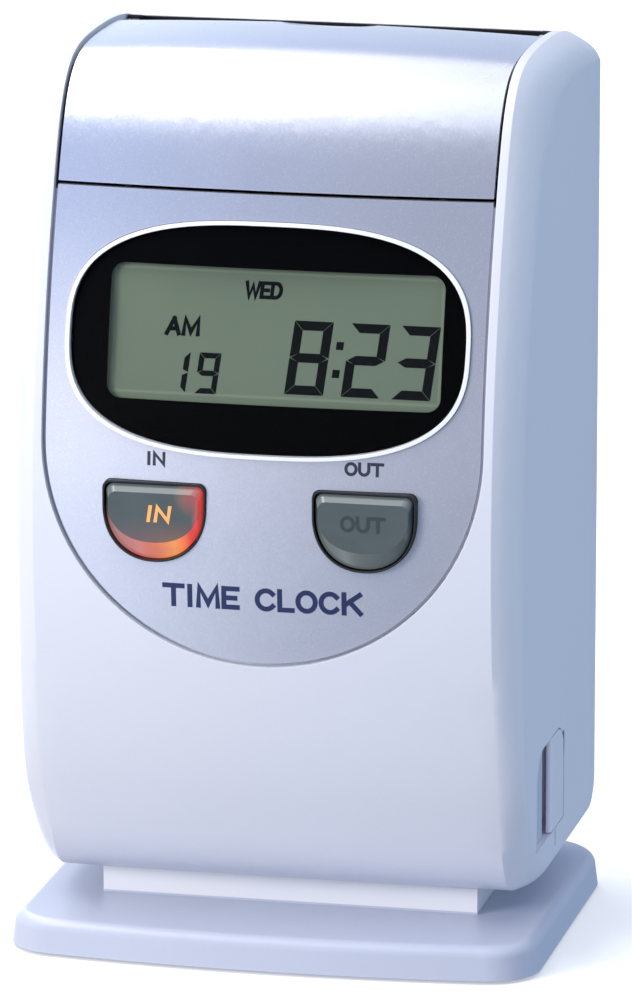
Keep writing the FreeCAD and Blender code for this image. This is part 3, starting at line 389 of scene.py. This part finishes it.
def clear_window(name):
    """Clear acrylic: passes light, with faint fresnel reflections and fine scratches."""
    m = Mat(name)
    clear = m.node("ShaderNodeBsdfTransparent")
    clear.inputs["Color"].default_value = (0.97, 0.975, 0.975, 1)
    gloss = m.node("ShaderNodeBsdfGlossy")
    scratch = m.noise(scale=500.0, detail=6.0, rough=0.7, stretch=(0.1, 1, 1))
    m.link(m.ramp(scratch, [(0.6, 0.04), (0.75, 0.12)]), gloss.inputs["Roughness"])
    fresnel = m.node("ShaderNodeFresnel")
    fresnel.inputs["IOR"].default_value = 1.30
    reflection = m.mul(fresnel.outputs[0], 0.03)
    m.link(m.mix_shader(reflection, clear.outputs[0], gloss.outputs[0]), m.out.inputs["Surface"])


def lcd_background(name):
    """Grey-green display, painted lighter at the top left and darker to the right, with a painted highlight line just
    inside the window edge, and faintly lit in its own tone as painted light.
    """
    m = Mat(name)
    place = m.vmath("SUBTRACT", m.coord, tuple(LCD_PIVOT))
    high = m.vmath("DOT_PRODUCT", place, tuple(LCD_UP))
    across = m.vmath("DOT_PRODUCT", place, (1, 0, 0))
    tone = m.mix(m.noise(scale=26.0, rough=0.6), srgb(101, 114, 98), srgb(110, 122, 105))
    # Painted light and shade: the display is tinted lighter towards the top and darker towards the right.
    upper = m.linear(high, gain=9.0, offset=0.5, clamp=True)
    tone = m.tint(tone, srgb(122, 132, 114), mask=upper, amount=0.30)
    right = m.linear(across, gain=7.0, offset=0.5, clamp=True)
    tone = m.tint(tone, srgb(88, 104, 94), mask=right, amount=0.16)
    side_gap = m.sub(LCD_HALF_WIDTH, m.math("ABSOLUTE", across))
    end_gap = m.sub(LCD_HALF_HEIGHT, m.math("ABSOLUTE", high))
    edge_gap = m.math("MINIMUM", side_gap, end_gap)
    # Painted highlight: a lighter line just inside the window edge.
    window_edge_highlight = m.fade(m.math("ABSOLUTE", m.sub(edge_gap, 0.0009)), gain=1600.0)
    tone = m.tint(tone, srgb(150, 160, 142), mask=window_edge_highlight, amount=0.35)
    _, channels = m.cells(scale=5200.0)
    tone = m.tint(tone, srgb(78, 88, 76), mask=channels[0], amount=0.10)
    # The faint emission in the display's own tone is painted light.
    m.principled(Base_Color=tone, Roughness=0.42, Specular_IOR_Level=0.3,
                 Emission_Color=tone, Emission_Strength=0.045)


def cap_glow(m, x, z, down):
    """Hue and strength of the lamp light, from the place on the cap in metres."""
    right = m.linear(x, gain=46.0, offset=0.52, clamp=True)
    hue = m.ramp(right, [
        (0.0, srgb(196, 120, 112)), (0.25, srgb(214, 84, 74)), (0.55, srgb(232, 110, 66)),
        (0.80, srgb(255, 160, 70)), (1.0, srgb(226, 60, 52))])
    # strong on the crescent, stronger to the right
    low = m.linear(z, gain=-70.0, offset=0.10, clamp=True)
    amount = m.mul(m.linear(right, gain=0.6, offset=0.55),
                   m.math("MAXIMUM", down, m.mul(low, 0.35)))
    # faint round the face's upper right corner, and a line down the right side
    corner_x, corner_z = m.sub(x, 0.0118), m.sub(z, 0.0080)
    radius = m.math("SQRT", m.add(m.mul(corner_x, corner_x), m.mul(corner_z, corner_z)))
    corner = m.fade(radius, gain=165.0)
    side = m.mul(m.fade(m.math("ABSOLUTE", m.sub(x, 0.0132)), gain=420.0), 0.9)
    amount = m.math("MAXIMUM", amount, m.math("MAXIMUM", m.mul(corner, 0.45), side))
    return hue, m.mul(amount, m.linear(m.noise(scale=180.0), gain=0.7, offset=0.62))


def button_cap(name, middle_x, lit):
    """Smoky translucent cap.  When lit, the lamp behind its lower right side colours it."""
    m = Mat(name)
    place = m.split(m.coord)
    geometry = m.node("ShaderNodeNewGeometry")
    slope = m.split(geometry.outputs["True Normal"])[2]
    down = m.mul(m.sub(0.0, slope), 3.2, clamp=True)
    up = m.mul(slope, 3.0, clamp=True)
    tone = m.mix(m.noise(scale=120.0, detail=4.0), srgb(66, 76, 78), srgb(84, 94, 94))
    # Painted highlights: faces turned down, the lower crescent, and faces turned up are tinted lighter.
    tone = m.tint(tone, srgb(122, 130, 126), mask=down, amount=0.55)
    tone = m.tint(tone, srgb(124, 130, 130), mask=up, amount=0.6)
    normal = m.bump(m.noise(scale=500.0), strength=0.12, distance=0.00001,
                    normal=m.bevel(0.0003))
    surface = dict(Base_Color=tone, Roughness=0.24, Coat_Weight=0.7, Coat_Roughness=0.08,
                   Specular_IOR_Level=0.5, Normal=normal)
    if lit:
        x = m.sub(place[0], middle_x * MM)
        z = m.sub(place[2], BUTTON_Z * MM)
        hue, amount = cap_glow(m, x, z, down)
        surface["Emission_Color"] = hue
        surface["Emission_Strength"] = m.mul(amount, 0.85)
        surface["Base_Color"] = m.tint(tone, srgb(120, 30, 20), mask=amount, amount=0.5)
    m.principled(**surface)


def mottled(name, dark, light, scale, detail=3.0, bump=None, **surface):
    """Surface drifting between two tones; bump is its noise scale, strength and depth."""
    m = Mat(name)
    surface["Base_Color"] = m.mix(m.noise(scale, detail), dark, light)
    if bump:
        bump_scale, strength, depth = bump
        surface["Normal"] = m.bump(m.noise(bump_scale), strength, depth)
    m.principled(**surface)


# ------------------------------------------------------------------ materials
# Each plastic's edge amount and colour tint its edges lighter: a painted highlight.
plastic("casing_plastic", srgb(223, 225, 236), rough=0.40, vary=0.025, coat=0.25, edge=0.45)
# The plinth, over 10.9 mm, is tinted whiter: painted light that lifts the shade under the casing.
plastic("stand_plastic", srgb(191, 196, 215), rough=0.36, vary=0.03, coat=0.3, edge=0.5,
        painted_light_above=(0.0109, srgb(240, 240, 244)))
# The port plate shines faintly in its own colour: painted light that lifts the shaded pocket at the port cover.
plastic("recess_plastic", srgb(172, 180, 200), rough=0.45, vary=0.03, coat=0.1, edge=0.3,
        painted_glow=0.10)
silver_paint("silver_plastic", srgb(212, 214, 226))
plastic("bezel_silver", srgb(240, 242, 249), rough=0.2, vary=0.02, coat=0.8, edge=0.5,
        grain=2200.0, grain_h=0.000004, bevel=0.0003)
plastic("black_plastic", (0.012, 0.012, 0.014, 1), rough=0.38, vary=0.2, edge=0.12,
        highlight_colour=(0.2, 0.2, 0.22, 1), coat=0.1)
plastic("grey_plastic", (0.11, 0.115, 0.125, 1), rough=0.45, highlight_colour=(0.4, 0.4, 0.42, 1))
plastic("white_plastic", (0.72, 0.72, 0.69, 1), rough=0.4)
plastic("roller_rubber", (0.022, 0.022, 0.024, 1), rough=0.72, coat=0.0, grain=1400.0,
        grain_h=0.00003, vary=0.25, edge=0.15, highlight_colour=(0.12, 0.12, 0.12, 1))
plastic("chip_black", (0.02, 0.02, 0.022, 1), rough=0.5, highlight_colour=(0.3, 0.3, 0.3, 1))
plastic("battery_wrap", (0.03, 0.16, 0.07, 1), rough=0.22, coat=0.6)
plastic("ribbon_film", (0.012, 0.012, 0.03, 1), rough=0.8, coat=0.0, grain=3000.0,
        grain_h=0.00004)
metal("steel", (0.58, 0.59, 0.61, 1), rough=0.25, brushed=(0.12, 1, 1))
metal("zinc_sheet", (0.55, 0.57, 0.60, 1), rough=0.38, vary=0.14)
metal("brass", (0.72, 0.52, 0.22, 1), rough=0.28)
metal("print_metal", (0.10, 0.10, 0.11, 1), rough=0.45, metallic=0.8)
circuit_board("pcb_green")
clear_window("lens_clear")
mottled("lens_black", (0.0012, 0.0012, 0.0014, 1), (0.0022, 0.0022, 0.0026, 1), scale=40.0,
        bump=(1500.0, 0.1, 0.000005), Roughness=0.45, Specular_IOR_Level=0.04)
lcd_background("lcd_glass")
mottled("lcd_ink", srgb(6, 9, 9), srgb(12, 16, 15), scale=300.0,
        Roughness=0.45, Specular_IOR_Level=0.2)
mottled("lcd_shadow", srgb(88, 100, 88), srgb(96, 108, 94), scale=300.0, Roughness=0.6,
        Specular_IOR_Level=0.1, Emission_Color=srgb(92, 104, 90), Emission_Strength=0.12)
button_cap("cap_in", -BUTTON_X, lit=True)
button_cap("cap_out", BUTTON_X, lit=False)
mottled("led_red", srgb(96, 20, 16), srgb(120, 30, 22), scale=200.0,
        Roughness=0.15, Coat_Weight=0.6)
mottled("print_navy", srgb(28, 40, 80), srgb(40, 52, 94), scale=260.0,
        bump=(900.0, 0.2, 0.00001), Roughness=0.4)
mottled("print_grey", srgb(42, 46, 62), srgb(54, 58, 74), scale=260.0,
        bump=(900.0, 0.2, 0.00001), Roughness=0.4)
mottled("glow_text", srgb(226, 150, 84), srgb(240, 172, 104), scale=300.0,
        Roughness=0.4, Emission_Color=srgb(255, 176, 96), Emission_Strength=0.32)
mottled("dim_text", srgb(48, 58, 60), srgb(58, 68, 70), scale=300.0, Roughness=0.4)
mottled("label_film", srgb(200, 203, 208), srgb(212, 214, 220), scale=80.0, detail=4.0,
        bump=(600.0, 0.15, 0.00001), Roughness=0.3, Metallic=0.3)


# ------------------------------------------------------------------ CAD parts
# Parts whose material isn't the one named by their slot
PART_MATERIALS = {
    "in_button": "cap_in", "out_button": "cap_out", "stand": "stand_plastic",
    "print_head": "print_metal", "port_plate": "recess_plastic",
}


def smooth_group(angle):
    """Geometry nodes that smooth every edge up to the given angle."""
    group = bpy.data.node_groups.new("smooth_by_angle", "GeometryNodeTree")
    for direction in ("INPUT", "OUTPUT"):
        group.interface.new_socket("Geometry", in_out=direction,
                                   socket_type="NodeSocketGeometry")
    start, end = group.nodes.new("NodeGroupInput"), group.nodes.new("NodeGroupOutput")
    edge_angle = group.nodes.new("GeometryNodeInputMeshEdgeAngle")
    compare = group.nodes.new("FunctionNodeCompare")
    compare.data_type, compare.operation = "FLOAT", "LESS_EQUAL"
    compare.inputs[1].default_value = angle
    faces = group.nodes.new("GeometryNodeSetShadeSmooth")
    edges = group.nodes.new("GeometryNodeSetShadeSmooth")
    faces.domain, edges.domain = "FACE", "EDGE"
    link = group.links.new
    link(edge_angle.outputs["Unsigned Angle"], compare.inputs[0])
    link(start.outputs[0], faces.inputs["Geometry"])
    link(faces.outputs[0], edges.inputs["Geometry"])
    link(compare.outputs[0], edges.inputs["Shade Smooth"])
    link(edges.outputs[0], end.inputs[0])
    return group


def shade(obj, group):
    """Replace the stored normals with smoothing by angle."""
    stored = obj.data.attributes.get("custom_normal")
    if stored:
        obj.data.attributes.remove(stored)
    weld = obj.modifiers.new("weld", "WELD")
    weld.merge_threshold = 0.000002
    smooth = obj.modifiers.new("smooth", "NODES")
    smooth.node_group = group
    normals = obj.modifiers.new("normals", "WEIGHTED_NORMAL")
    normals.keep_sharp = True
    normals.mode = "FACE_AREA"
    normals.weight = 60


slot_of = {part["node"]: part["material_slot"] for part in frame["record"]["subparts"]}
smooth_by_angle = smooth_group(math.radians(24))
for name, obj in parts.items():
    obj.data.materials.clear()
    obj.data.materials.append(MATERIALS[PART_MATERIALS.get(name, slot_of[name])])
    shade(obj, smooth_by_angle)


# ------------------------------------------------------------------ places on the clock
# Each takes mm across, up and out of the surface, and gives a point in metres.
def on_lcd(u, v, out):
    middle = Vector((u * MM, LCD_PIVOT.y, LCD_PIVOT.z))
    return middle + LCD_UP * (v * MM) + LCD_OUT * (out * MM)


panel_mesh = parts["display_panel"].data
panel_tree = BVHTree.FromPolygons([vertex.co.copy() for vertex in panel_mesh.vertices],
                                  [tuple(face.vertices) for face in panel_mesh.polygons])


def on_panel(x, z, out):
    hit = panel_tree.ray_cast(Vector((x * MM, -0.12, z * MM)), Vector((0, 1, 0)))[0]
    y = hit.y if hit is not None else PANEL_Y
    return Vector((x * MM, y - out * MM, z * MM))


def on_cap(x, z, out):
    return Vector((x * MM, (CAP_FACE_Y - out) * MM, z * MM))


def on_rear_label(x, z, out):
    return Vector((x * MM, (LABEL_Y + out) * MM, z * MM))


# ------------------------------------------------------------------ mesh helpers
def mesh_piece(name, verts, faces, material, body, slot):
    mesh = bpy.data.meshes.new(name)
    mesh.from_pydata([tuple(vert) for vert in verts], [], faces)
    bm = bmesh.new()
    bm.from_mesh(mesh)
    bmesh.ops.remove_doubles(bm, verts=bm.verts, dist=1e-7)
    bmesh.ops.recalc_face_normals(bm, faces=bm.faces)
    bm.to_mesh(mesh)
    bm.free()
    mesh.validate()
    obj = bpy.data.objects.new(name, mesh)
    scene.collection.objects.link(obj)
    mesh.materials.append(MATERIALS[material])
    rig.ride(obj, body)
    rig.slot(obj, slot)
    return obj


def prisms(polygons, place, low, high):
    """Closed prisms between two depths, from flat polygons."""
    verts, faces = [], []
    for polygon in polygons:
        first, count = len(verts), len(polygon)
        for depth in (low, high):
            verts += [place(u, v, depth) for u, v in polygon]
        faces.append(tuple(range(first, first + count)))
        faces.append(tuple(reversed(range(first + count, first + 2 * count))))
        for i in range(count):
            a, b = first + i, first + (i + 1) % count
            faces.append((a, a + count, b + count, b))
    return verts, faces


# ------------------------------------------------------------------ display digits
# Segments from A at the top, clockwise to F, with G across the middle
SEGMENTS = {
    "0": "ABCDEF", "1": "BC", "2": "ABGED", "3": "ABGCD", "4": "FGBC",
    "5": "AFGCD", "6": "AFGECD", "7": "ABC", "8": "ABCDEFG", "9": "ABCDFG",
}
DIGIT_SLANT = math.tan(math.radians(6.0))
DIGIT_GAP = 0.10
BIG_DIGIT = (-15.9, 10.9, 20.3, 2.55)        # bottom, width, height, pen in mm
DIGITS = [                                   # character, left, then as above
    ("8", 5.4, *BIG_DIGIT), ("2", 21.3, *BIG_DIGIT), ("3", 35.4, *BIG_DIGIT),
    ("1", -28.2, -16.9, 5.6, 11.3, 1.5), ("9", -20.0, -16.9, 6.1, 11.3, 1.5),
]
COLON_DOTS = [(20.4, -2.0), (19.6, -9.7)]    # centres
DOT_OUTLINE = [(-1.05, -1.1), (0.95, -1.1), (1.15, 1.1), (-0.85, 1.1)]


def digit(char, left, bottom, w, h, pen):
    """Seven-segment digit with mitred segments, w wide and h high."""
    gap, half = DIGIT_GAP, pen * 0.5
    middle = h / 2
    near, far = pen + gap, w - pen - gap
    upper, lower = middle + half * 0.9 + gap, middle - half * 0.9 - gap
    bar_near, bar_far = pen + gap * 0.4, w - pen - gap * 0.4
    inner = w - pen
    outlines = {
        "A": [(gap, h), (w - gap, h), (far, h - pen), (near, h - pen)],
        "B": [(w, h - gap), (w, middle + gap), (inner, upper), (inner, h - pen - gap)],
        "C": [(w, gap), (inner, near), (inner, lower), (w, middle - gap)],
        "D": [(gap, 0), (near, pen), (far, pen), (w - gap, 0)],
        "E": [(0, gap), (0, middle - gap), (pen, lower), (pen, near)],
        "F": [(0, h - gap), (pen, h - pen - gap), (pen, upper), (0, middle + gap)],
        "G": [(gap + 0.25, middle), (bar_near, middle + half), (bar_far, middle + half),
              (w - gap - 0.25, middle), (bar_far, middle - half), (bar_near, middle - half)],
    }
    return [[(left + x + DIGIT_SLANT * y, bottom + y) for x, y in outlines[segment]]
            for segment in SEGMENTS[char]]


def lcd_digits():
    polygons = [polygon for row in DIGITS for polygon in digit(*row)]
    polygons += [[(u + x, v + y) for x, y in DOT_OUTLINE] for u, v in COLON_DOTS]
    verts, faces = prisms(polygons, on_lcd, low=0.01, high=0.09)
    mesh_piece("lcd_digits", verts, faces, "lcd_ink", "root", "lcd_glass")


lcd_digits()


# ------------------------------------------------------------------ words
def arc(x, y, radius_x, radius_y, *degrees):
    """Points on an ellipse; degrees are the start, stop and step of a range."""
    return [(x + radius_x * math.cos(math.radians(a)), y + radius_y * math.sin(math.radians(a)))
            for a in range(*degrees)]


# Pen strokes of each letter in a unit box
STROKES = {
    "A": [[(0.06, 0.0), (0.5, 1.0)], [(0.94, 0.0), (0.5, 1.0)], [(0.24, 0.32), (0.76, 0.32)]],
    "C": [arc(0.54, 0.5, 0.48, 0.5, 42, 319, 12)],
    "D": [[(0.06, 0.0), (0.06, 1.0), (0.45, 1.0)] + arc(0.45, 0.5, 0.5, 0.5, 75, -76, -15)
          + [(0.45, 0.0), (0.06, 0.0)]],
    "E": [[(0.95, 1.0), (0.06, 1.0), (0.06, 0.0), (0.95, 0.0)], [(0.06, 0.5), (0.8, 0.5)]],
    "I": [[(0.5, 0.0), (0.5, 1.0)]],
    "K": [[(0.08, 0.0), (0.08, 1.0)], [(0.92, 1.0), (0.1, 0.42)], [(0.38, 0.62), (0.95, 0.0)]],
    "L": [[(0.08, 1.0), (0.08, 0.0), (0.92, 0.0)]],
    "M": [[(0.06, 0.0), (0.1, 1.0), (0.5, 0.12), (0.9, 1.0), (0.94, 0.0)]],
    "N": [[(0.08, 0.0), (0.08, 1.0), (0.92, 0.0), (0.92, 1.0)]],
    "O": [arc(0.5, 0.5, 0.47, 0.5, 0, 361, 12)],
    "T": [[(0.02, 1.0), (0.98, 1.0)], [(0.5, 1.0), (0.5, 0.0)]],
    "U": [[(0.07, 1.0), (0.07, 0.43)] + arc(0.5, 0.43, 0.43, 0.43, 195, 346, 15)
          + [(0.93, 0.43), (0.93, 1.0)]],
    "W": [[(0.02, 1.0), (0.26, 0.0), (0.5, 0.85), (0.74, 0.0), (0.98, 1.0)]],
}
# Letter widths where they aren't 1, and the space between letters
LETTER_WIDTHS = {"I": 0.35, "M": 1.2, "W": 1.35, "E": 0.82, "L": 0.8, " ": 0.55}
LETTER_GAP = 0.22

# Bottom and top of the ink, mm out of the surface
LCD_INK = (0.01, 0.08)
PRINT = (-0.02, 0.05)
# name, text, surface, centre across and up, height, width, pen, slant, ink, material,
# body it rides, slot
WORDS = [
    ("lcd_day", "WED", on_lcd, -1.6, 12.3, 4.9, 11.0, 1.05, 0.08, LCD_INK, "lcd_ink",
     "root", "lcd_glass"),
    ("lcd_half_day", "AM", on_lcd, -23.9, 1.4, 5.3, 10.4, 1.15, 0.08, LCD_INK, "lcd_ink",
     "root", "lcd_glass"),
    ("label_in", "IN", on_panel, -29.4, 146.5, 3.9, 6.0, 0.88, 0.0, PRINT, "print_grey",
     "root", "silver_plastic"),
    ("label_out", "OUT", on_panel, 29.3, 146.4, 3.9, 11.2, 0.88, 0.0, PRINT, "print_grey",
     "root", "silver_plastic"),
    ("label_plain", "TIME CLOCK", on_panel, 0.8, 108.3, 6.7, 57.0, 1.4, 0.0, PRINT, "print_navy",
     "root", "silver_plastic"),
    ("cap_in_word", "IN", on_cap, -28.0, 131.6, 4.8, 7.6, 1.0, 0.15, PRINT, "glow_text",
     "in_button", "button_plastic"),
    ("cap_out_word", "OUT", on_cap, BUTTON_X, 131.6, 4.6, 13.0, 0.95, 0.0, PRINT, "dim_text",
     "out_button", "button_plastic"),
]


def stroke_quads(points, pen):
    """One stroke as mitred quads of constant pen width."""
    closed = (points[0] - points[-1]).length < 1e-6
    if closed:
        points = points[:-1]
    count = len(points)
    steps = count if closed else count - 1
    left, right = [], []
    for i, point in enumerate(points):
        after = (points[(i + 1) % count] - point).normalized() if i < steps else None
        before = (point - points[i - 1]).normalized() if closed or i else after
        if after is None:
            after = before
        side = Vector((-before.y, before.x))
        mitre = side + Vector((-after.y, after.x))
        mitre = side if mitre.length < 1e-6 else mitre.normalized()
        reach = pen / 2 / max(0.45, mitre.dot(side))     # limits sharp corners
        end = Vector((0, 0))
        if not closed and i == 0:
            end = -before * pen / 2
        if not closed and i == count - 1:
            end = after * pen / 2
        left.append(point + mitre * reach + end)
        right.append(point - mitre * reach + end)
    return [(right[i], right[(i + 1) % count], left[(i + 1) % count], left[i])
            for i in range(steps)]


def word_strokes(word, u, v, height, width, pen):
    """Quads of each stroke of a word centred on u, v."""
    widths = [LETTER_WIDTHS.get(char, 1.0) for char in word]
    scale = (width - pen) / (sum(widths) + LETTER_GAP * (len(word) - 1))
    left = u - (width - pen) / 2
    high = height - pen
    strokes = []
    for char, wide in zip(word, widths):
        for line in STROKES.get(char, []):
            points = [Vector((left + x * wide * scale, v - high / 2 + y * high))
                      for x, y in line]
            strokes.append(stroke_quads(points, pen))
        left += (wide + LETTER_GAP) * scale
    return strokes


def split_quad(quad):
    """Shorter quads along a long one, so that it follows a curved face."""
    a, b, c, d = quad
    count = max(1, int((b - a).length / SPLIT_LENGTH))
    pieces = []
    for i in range(count):
        start, stop = i / count, (i + 1) / count
        pieces.append((a.lerp(b, start), a.lerp(b, stop), d.lerp(c, stop), d.lerp(c, start)))
    return pieces


def word_piece(name, word, place, u, v, height, width, pen, slant, ink, material, body, slot):
    verts, faces = [], []
    low, high = ink
    for i, quads in enumerate(word_strokes(word, u, v, height, width, pen)):
        polygons = [[(x + slant * (y - v), y) for x, y in piece]
                    for quad in quads for piece in split_quad(quad)]
        lift = 0.006 * (i % 3)                           # keeps crossing strokes apart
        new_verts, new_faces = prisms(polygons, place, low, high + lift)
        faces += [tuple(k + len(verts) for k in face) for face in new_faces]
        verts += new_verts
    mesh_piece(name, verts, faces, material, body, slot)


for row in WORDS:
    word_piece(*row)


# ------------------------------------------------------------------ blank label on the rear cover
def rear_label():
    outline = [(-LABEL_HALF_WIDTH, LABEL_BOTTOM), (LABEL_HALF_WIDTH, LABEL_BOTTOM),
               (LABEL_HALF_WIDTH, LABEL_TOP), (-LABEL_HALF_WIDTH, LABEL_TOP)]
    verts, faces = prisms([outline], on_rear_label, low=0.0, high=LABEL_THICK)
    label = mesh_piece("rear_label", verts, faces, "label_film", "root", "silver_plastic")
    bevel = label.modifiers.new("bevel", "BEVEL")
    bevel.width, bevel.segments, bevel.limit_method = 0.00006, 2, "ANGLE"


rear_label()


# ------------------------------------------------------------------ floor, camera and lights
def add_floor(half=12):
    mesh = bpy.data.meshes.new("floor")
    corners = [(-half, -half, 0), (half, -half, 0), (half, half, 0), (-half, half, 0)]
    mesh.from_pydata(corners, [], [(0, 1, 2, 3)])
    floor = bpy.data.objects.new("floor", mesh)
    scene.collection.objects.link(floor)
    mottled("floor_white", (0.86, 0.86, 0.87, 1), (0.88, 0.88, 0.89, 1), scale=3.0,
            Roughness=0.75, Specular_IOR_Level=0.15, Emission_Color=WHITE,
            Emission_Strength=0.30)
    mesh.materials.append(MATERIALS["floor_white"])
    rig.stage(floor)
    floor.visible_glossy = False
    floor.visible_diffuse = False


def add_camera(target, azimuth, elevation, distance):
    """Camera looking at target; azimuth turns it from the front towards +X."""
    data = bpy.data.cameras.new("camera")
    data.lens, data.sensor_width, data.sensor_fit = 288.0, 36.0, "AUTO"
    data.clip_start, data.clip_end = 0.1, 60.0
    camera = bpy.data.objects.new("camera", data)
    scene.collection.objects.link(camera)
    sin_a, cos_a = math.sin(azimuth), math.cos(azimuth)
    sin_e, cos_e = math.sin(elevation), math.cos(elevation)
    back = Vector((sin_a * cos_e, -cos_a * cos_e, sin_e))
    up = Vector((-sin_a * sin_e, cos_a * sin_e, cos_e))
    turn = Matrix((up.cross(back), up, back)).transposed()
    camera.matrix_world = Matrix.Translation(target + back * distance) @ turn.to_4x4()
    scene.camera = camera


def add_light(name, place, aim, size, power, colour=(1.0, 1.0, 1.0)):
    """Rectangular light, left out of reflections."""
    data = bpy.data.lights.new(name, "AREA")
    data.shape, data.energy, data.color = "RECTANGLE", power, colour
    data.size, data.size_y = size
    light = bpy.data.objects.new(name, data)
    scene.collection.objects.link(light)
    light.location = place
    direction = (Vector(aim) - Vector(place)).normalized()
    light.rotation_euler = direction.to_track_quat("-Z", "Y").to_euler()
    light.visible_glossy = False


add_floor()
add_camera(target=Vector((14.79, -54.4, 136.03)) * MM, azimuth=math.radians(12.6),
           elevation=math.radians(13.6), distance=2.2001)
add_light("key", place=(-1.10, -1.25, 0.62), aim=(0, 0, 0.10), size=(0.7, 0.6), power=20.5,
          colour=(1.0, 0.995, 0.985))
add_light("low", place=(-0.85, -1.35, 0.16), aim=(0, -0.03, 0.02), size=(0.8, 0.2), power=0.5)
add_light("top", place=(-0.15, -0.25, 1.35), aim=(0, 0, 0.2), size=(1.0, 0.7), power=2.0)

# ------------------------------------------------------------------ studio surroundings
# Colours by ray direction; positions run from -1 to 1 on the axis, mapped to 0 to 1.
REFLECTED_BY_Z = [
    (0.0, (0.42, 0.44, 0.50)), (0.40, (0.46, 0.52, 0.66)), (0.50, (0.64, 0.66, 0.72)),
    (0.58, (0.47, 0.51, 0.62)), (0.65, (0.29, 0.36, 0.54)), (0.71, (0.04, 0.11, 0.31)),
    (0.84, (0.06, 0.14, 0.34)), (0.885, (2.3, 2.3, 2.3)), (1.0, (2.4, 2.4, 2.4))]
REFLECTED_BY_X = [
    (0.0, (1.3, 1.3, 1.27)), (0.20, (2.0, 2.0, 1.96)), (0.26, (3.6, 3.6, 3.5)),
    (0.305, (5.6, 5.5, 5.2)), (0.345, (2.7, 2.65, 2.6)), (0.385, (1.32, 1.33, 1.38)),
    (0.44, (0.80, 0.87, 0.98)), (0.5, (0.58, 0.65, 0.75)), (0.8, (0.30, 0.37, 0.52)),
    (1.0, (0.29, 0.37, 0.52))]
DIFFUSE_BY_Z = [(0.0, (0.36, 0.37, 0.42)), (0.5, (0.56, 0.56, 0.58)), (1.0, (0.88, 0.88, 0.88))]
DIFFUSE_BY_X = [
    (0.0, (0.66, 0.67, 0.70)), (0.22, (0.92, 0.92, 0.94)), (0.5, (0.88, 0.90, 0.96)),
    (0.78, (0.56, 0.66, 0.90)), (1.0, (1.42, 1.78, 1.98))]


def add_world():
    """White overhead and left, blue-grey to the front right, white seen directly."""
    world = bpy.data.worlds.new("studio")
    scene.world = world
    world.use_nodes = True
    w = Nodes(world.node_tree)
    x, y, z = w.split(w.node("ShaderNodeTexCoord").outputs["Generated"])

    def along(axis, stops):
        return w.ramp(w.linear(axis, gain=0.5, offset=0.5), stops)

    def product(a, b):
        return w.mix(1.0, a, b, blend="MULTIPLY")

    def background(colour, strength):
        node = w.node("ShaderNodeBackground")
        w.feed(node.inputs["Color"], colour)
        node.inputs["Strength"].default_value = strength
        return node.outputs[0]

    by_z = along(z, REFLECTED_BY_Z)
    by_x = along(x, REFLECTED_BY_X)
    toward = w.add(w.mul(x, 0.78), w.mul(y, -0.62))      # front right
    front_right = w.ramp(w.mul(w.sub(toward, 0.62), 3.0, clamp=True),
                         [(0.0, (1, 1, 1)), (1.0, (0.66, 0.70, 0.82))])
    rear = w.ramp(w.linear(y, gain=1.4, offset=-0.3, clamp=True),
                  [(0.0, (1, 1, 1)), (1.0, (1.55, 1.68, 1.72))])
    colour = product(product(product(by_z, by_x), front_right), rear)
    rear_top = w.mul(w.linear(z, gain=6.0, offset=-2.5, clamp=True),
                     w.linear(y, gain=4.0, offset=-0.4, clamp=True))
    colour = w.mix(rear_top, colour, product(by_x, (1.9, 1.9, 1.9, 1.0)))
    reflected = background(colour, strength=0.64)
    seen = background(WHITE, strength=1.0)
    diffuse = background(product(along(z, DIFFUSE_BY_Z), along(x, DIFFUSE_BY_X)), strength=1.0)
    ray = w.node("ShaderNodeLightPath").outputs
    surface = w.mix_shader(ray["Is Diffuse Ray"], reflected, diffuse)
    surface = w.mix_shader(ray["Is Camera Ray"], surface, seen)
    w.link(surface, w.node("ShaderNodeOutputWorld").inputs[0])


add_world()
scene.view_settings.view_transform = "Standard"
scene.view_settings.look = "None"
scene.view_settings.exposure = 0.0


def as_lists(bounds):
    if hasattr(bounds, "__iter__"):
        return [[float(c) for c in point] for point in bounds]
    return bounds


# The folder may be missing or read-only; the scene doesn't need the record.
try:
    json.dump({"cad": as_lists(cad_bounds), "visual": as_lists(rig.bounds())},
              open("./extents.json", "w"))
except OSError:
    pass
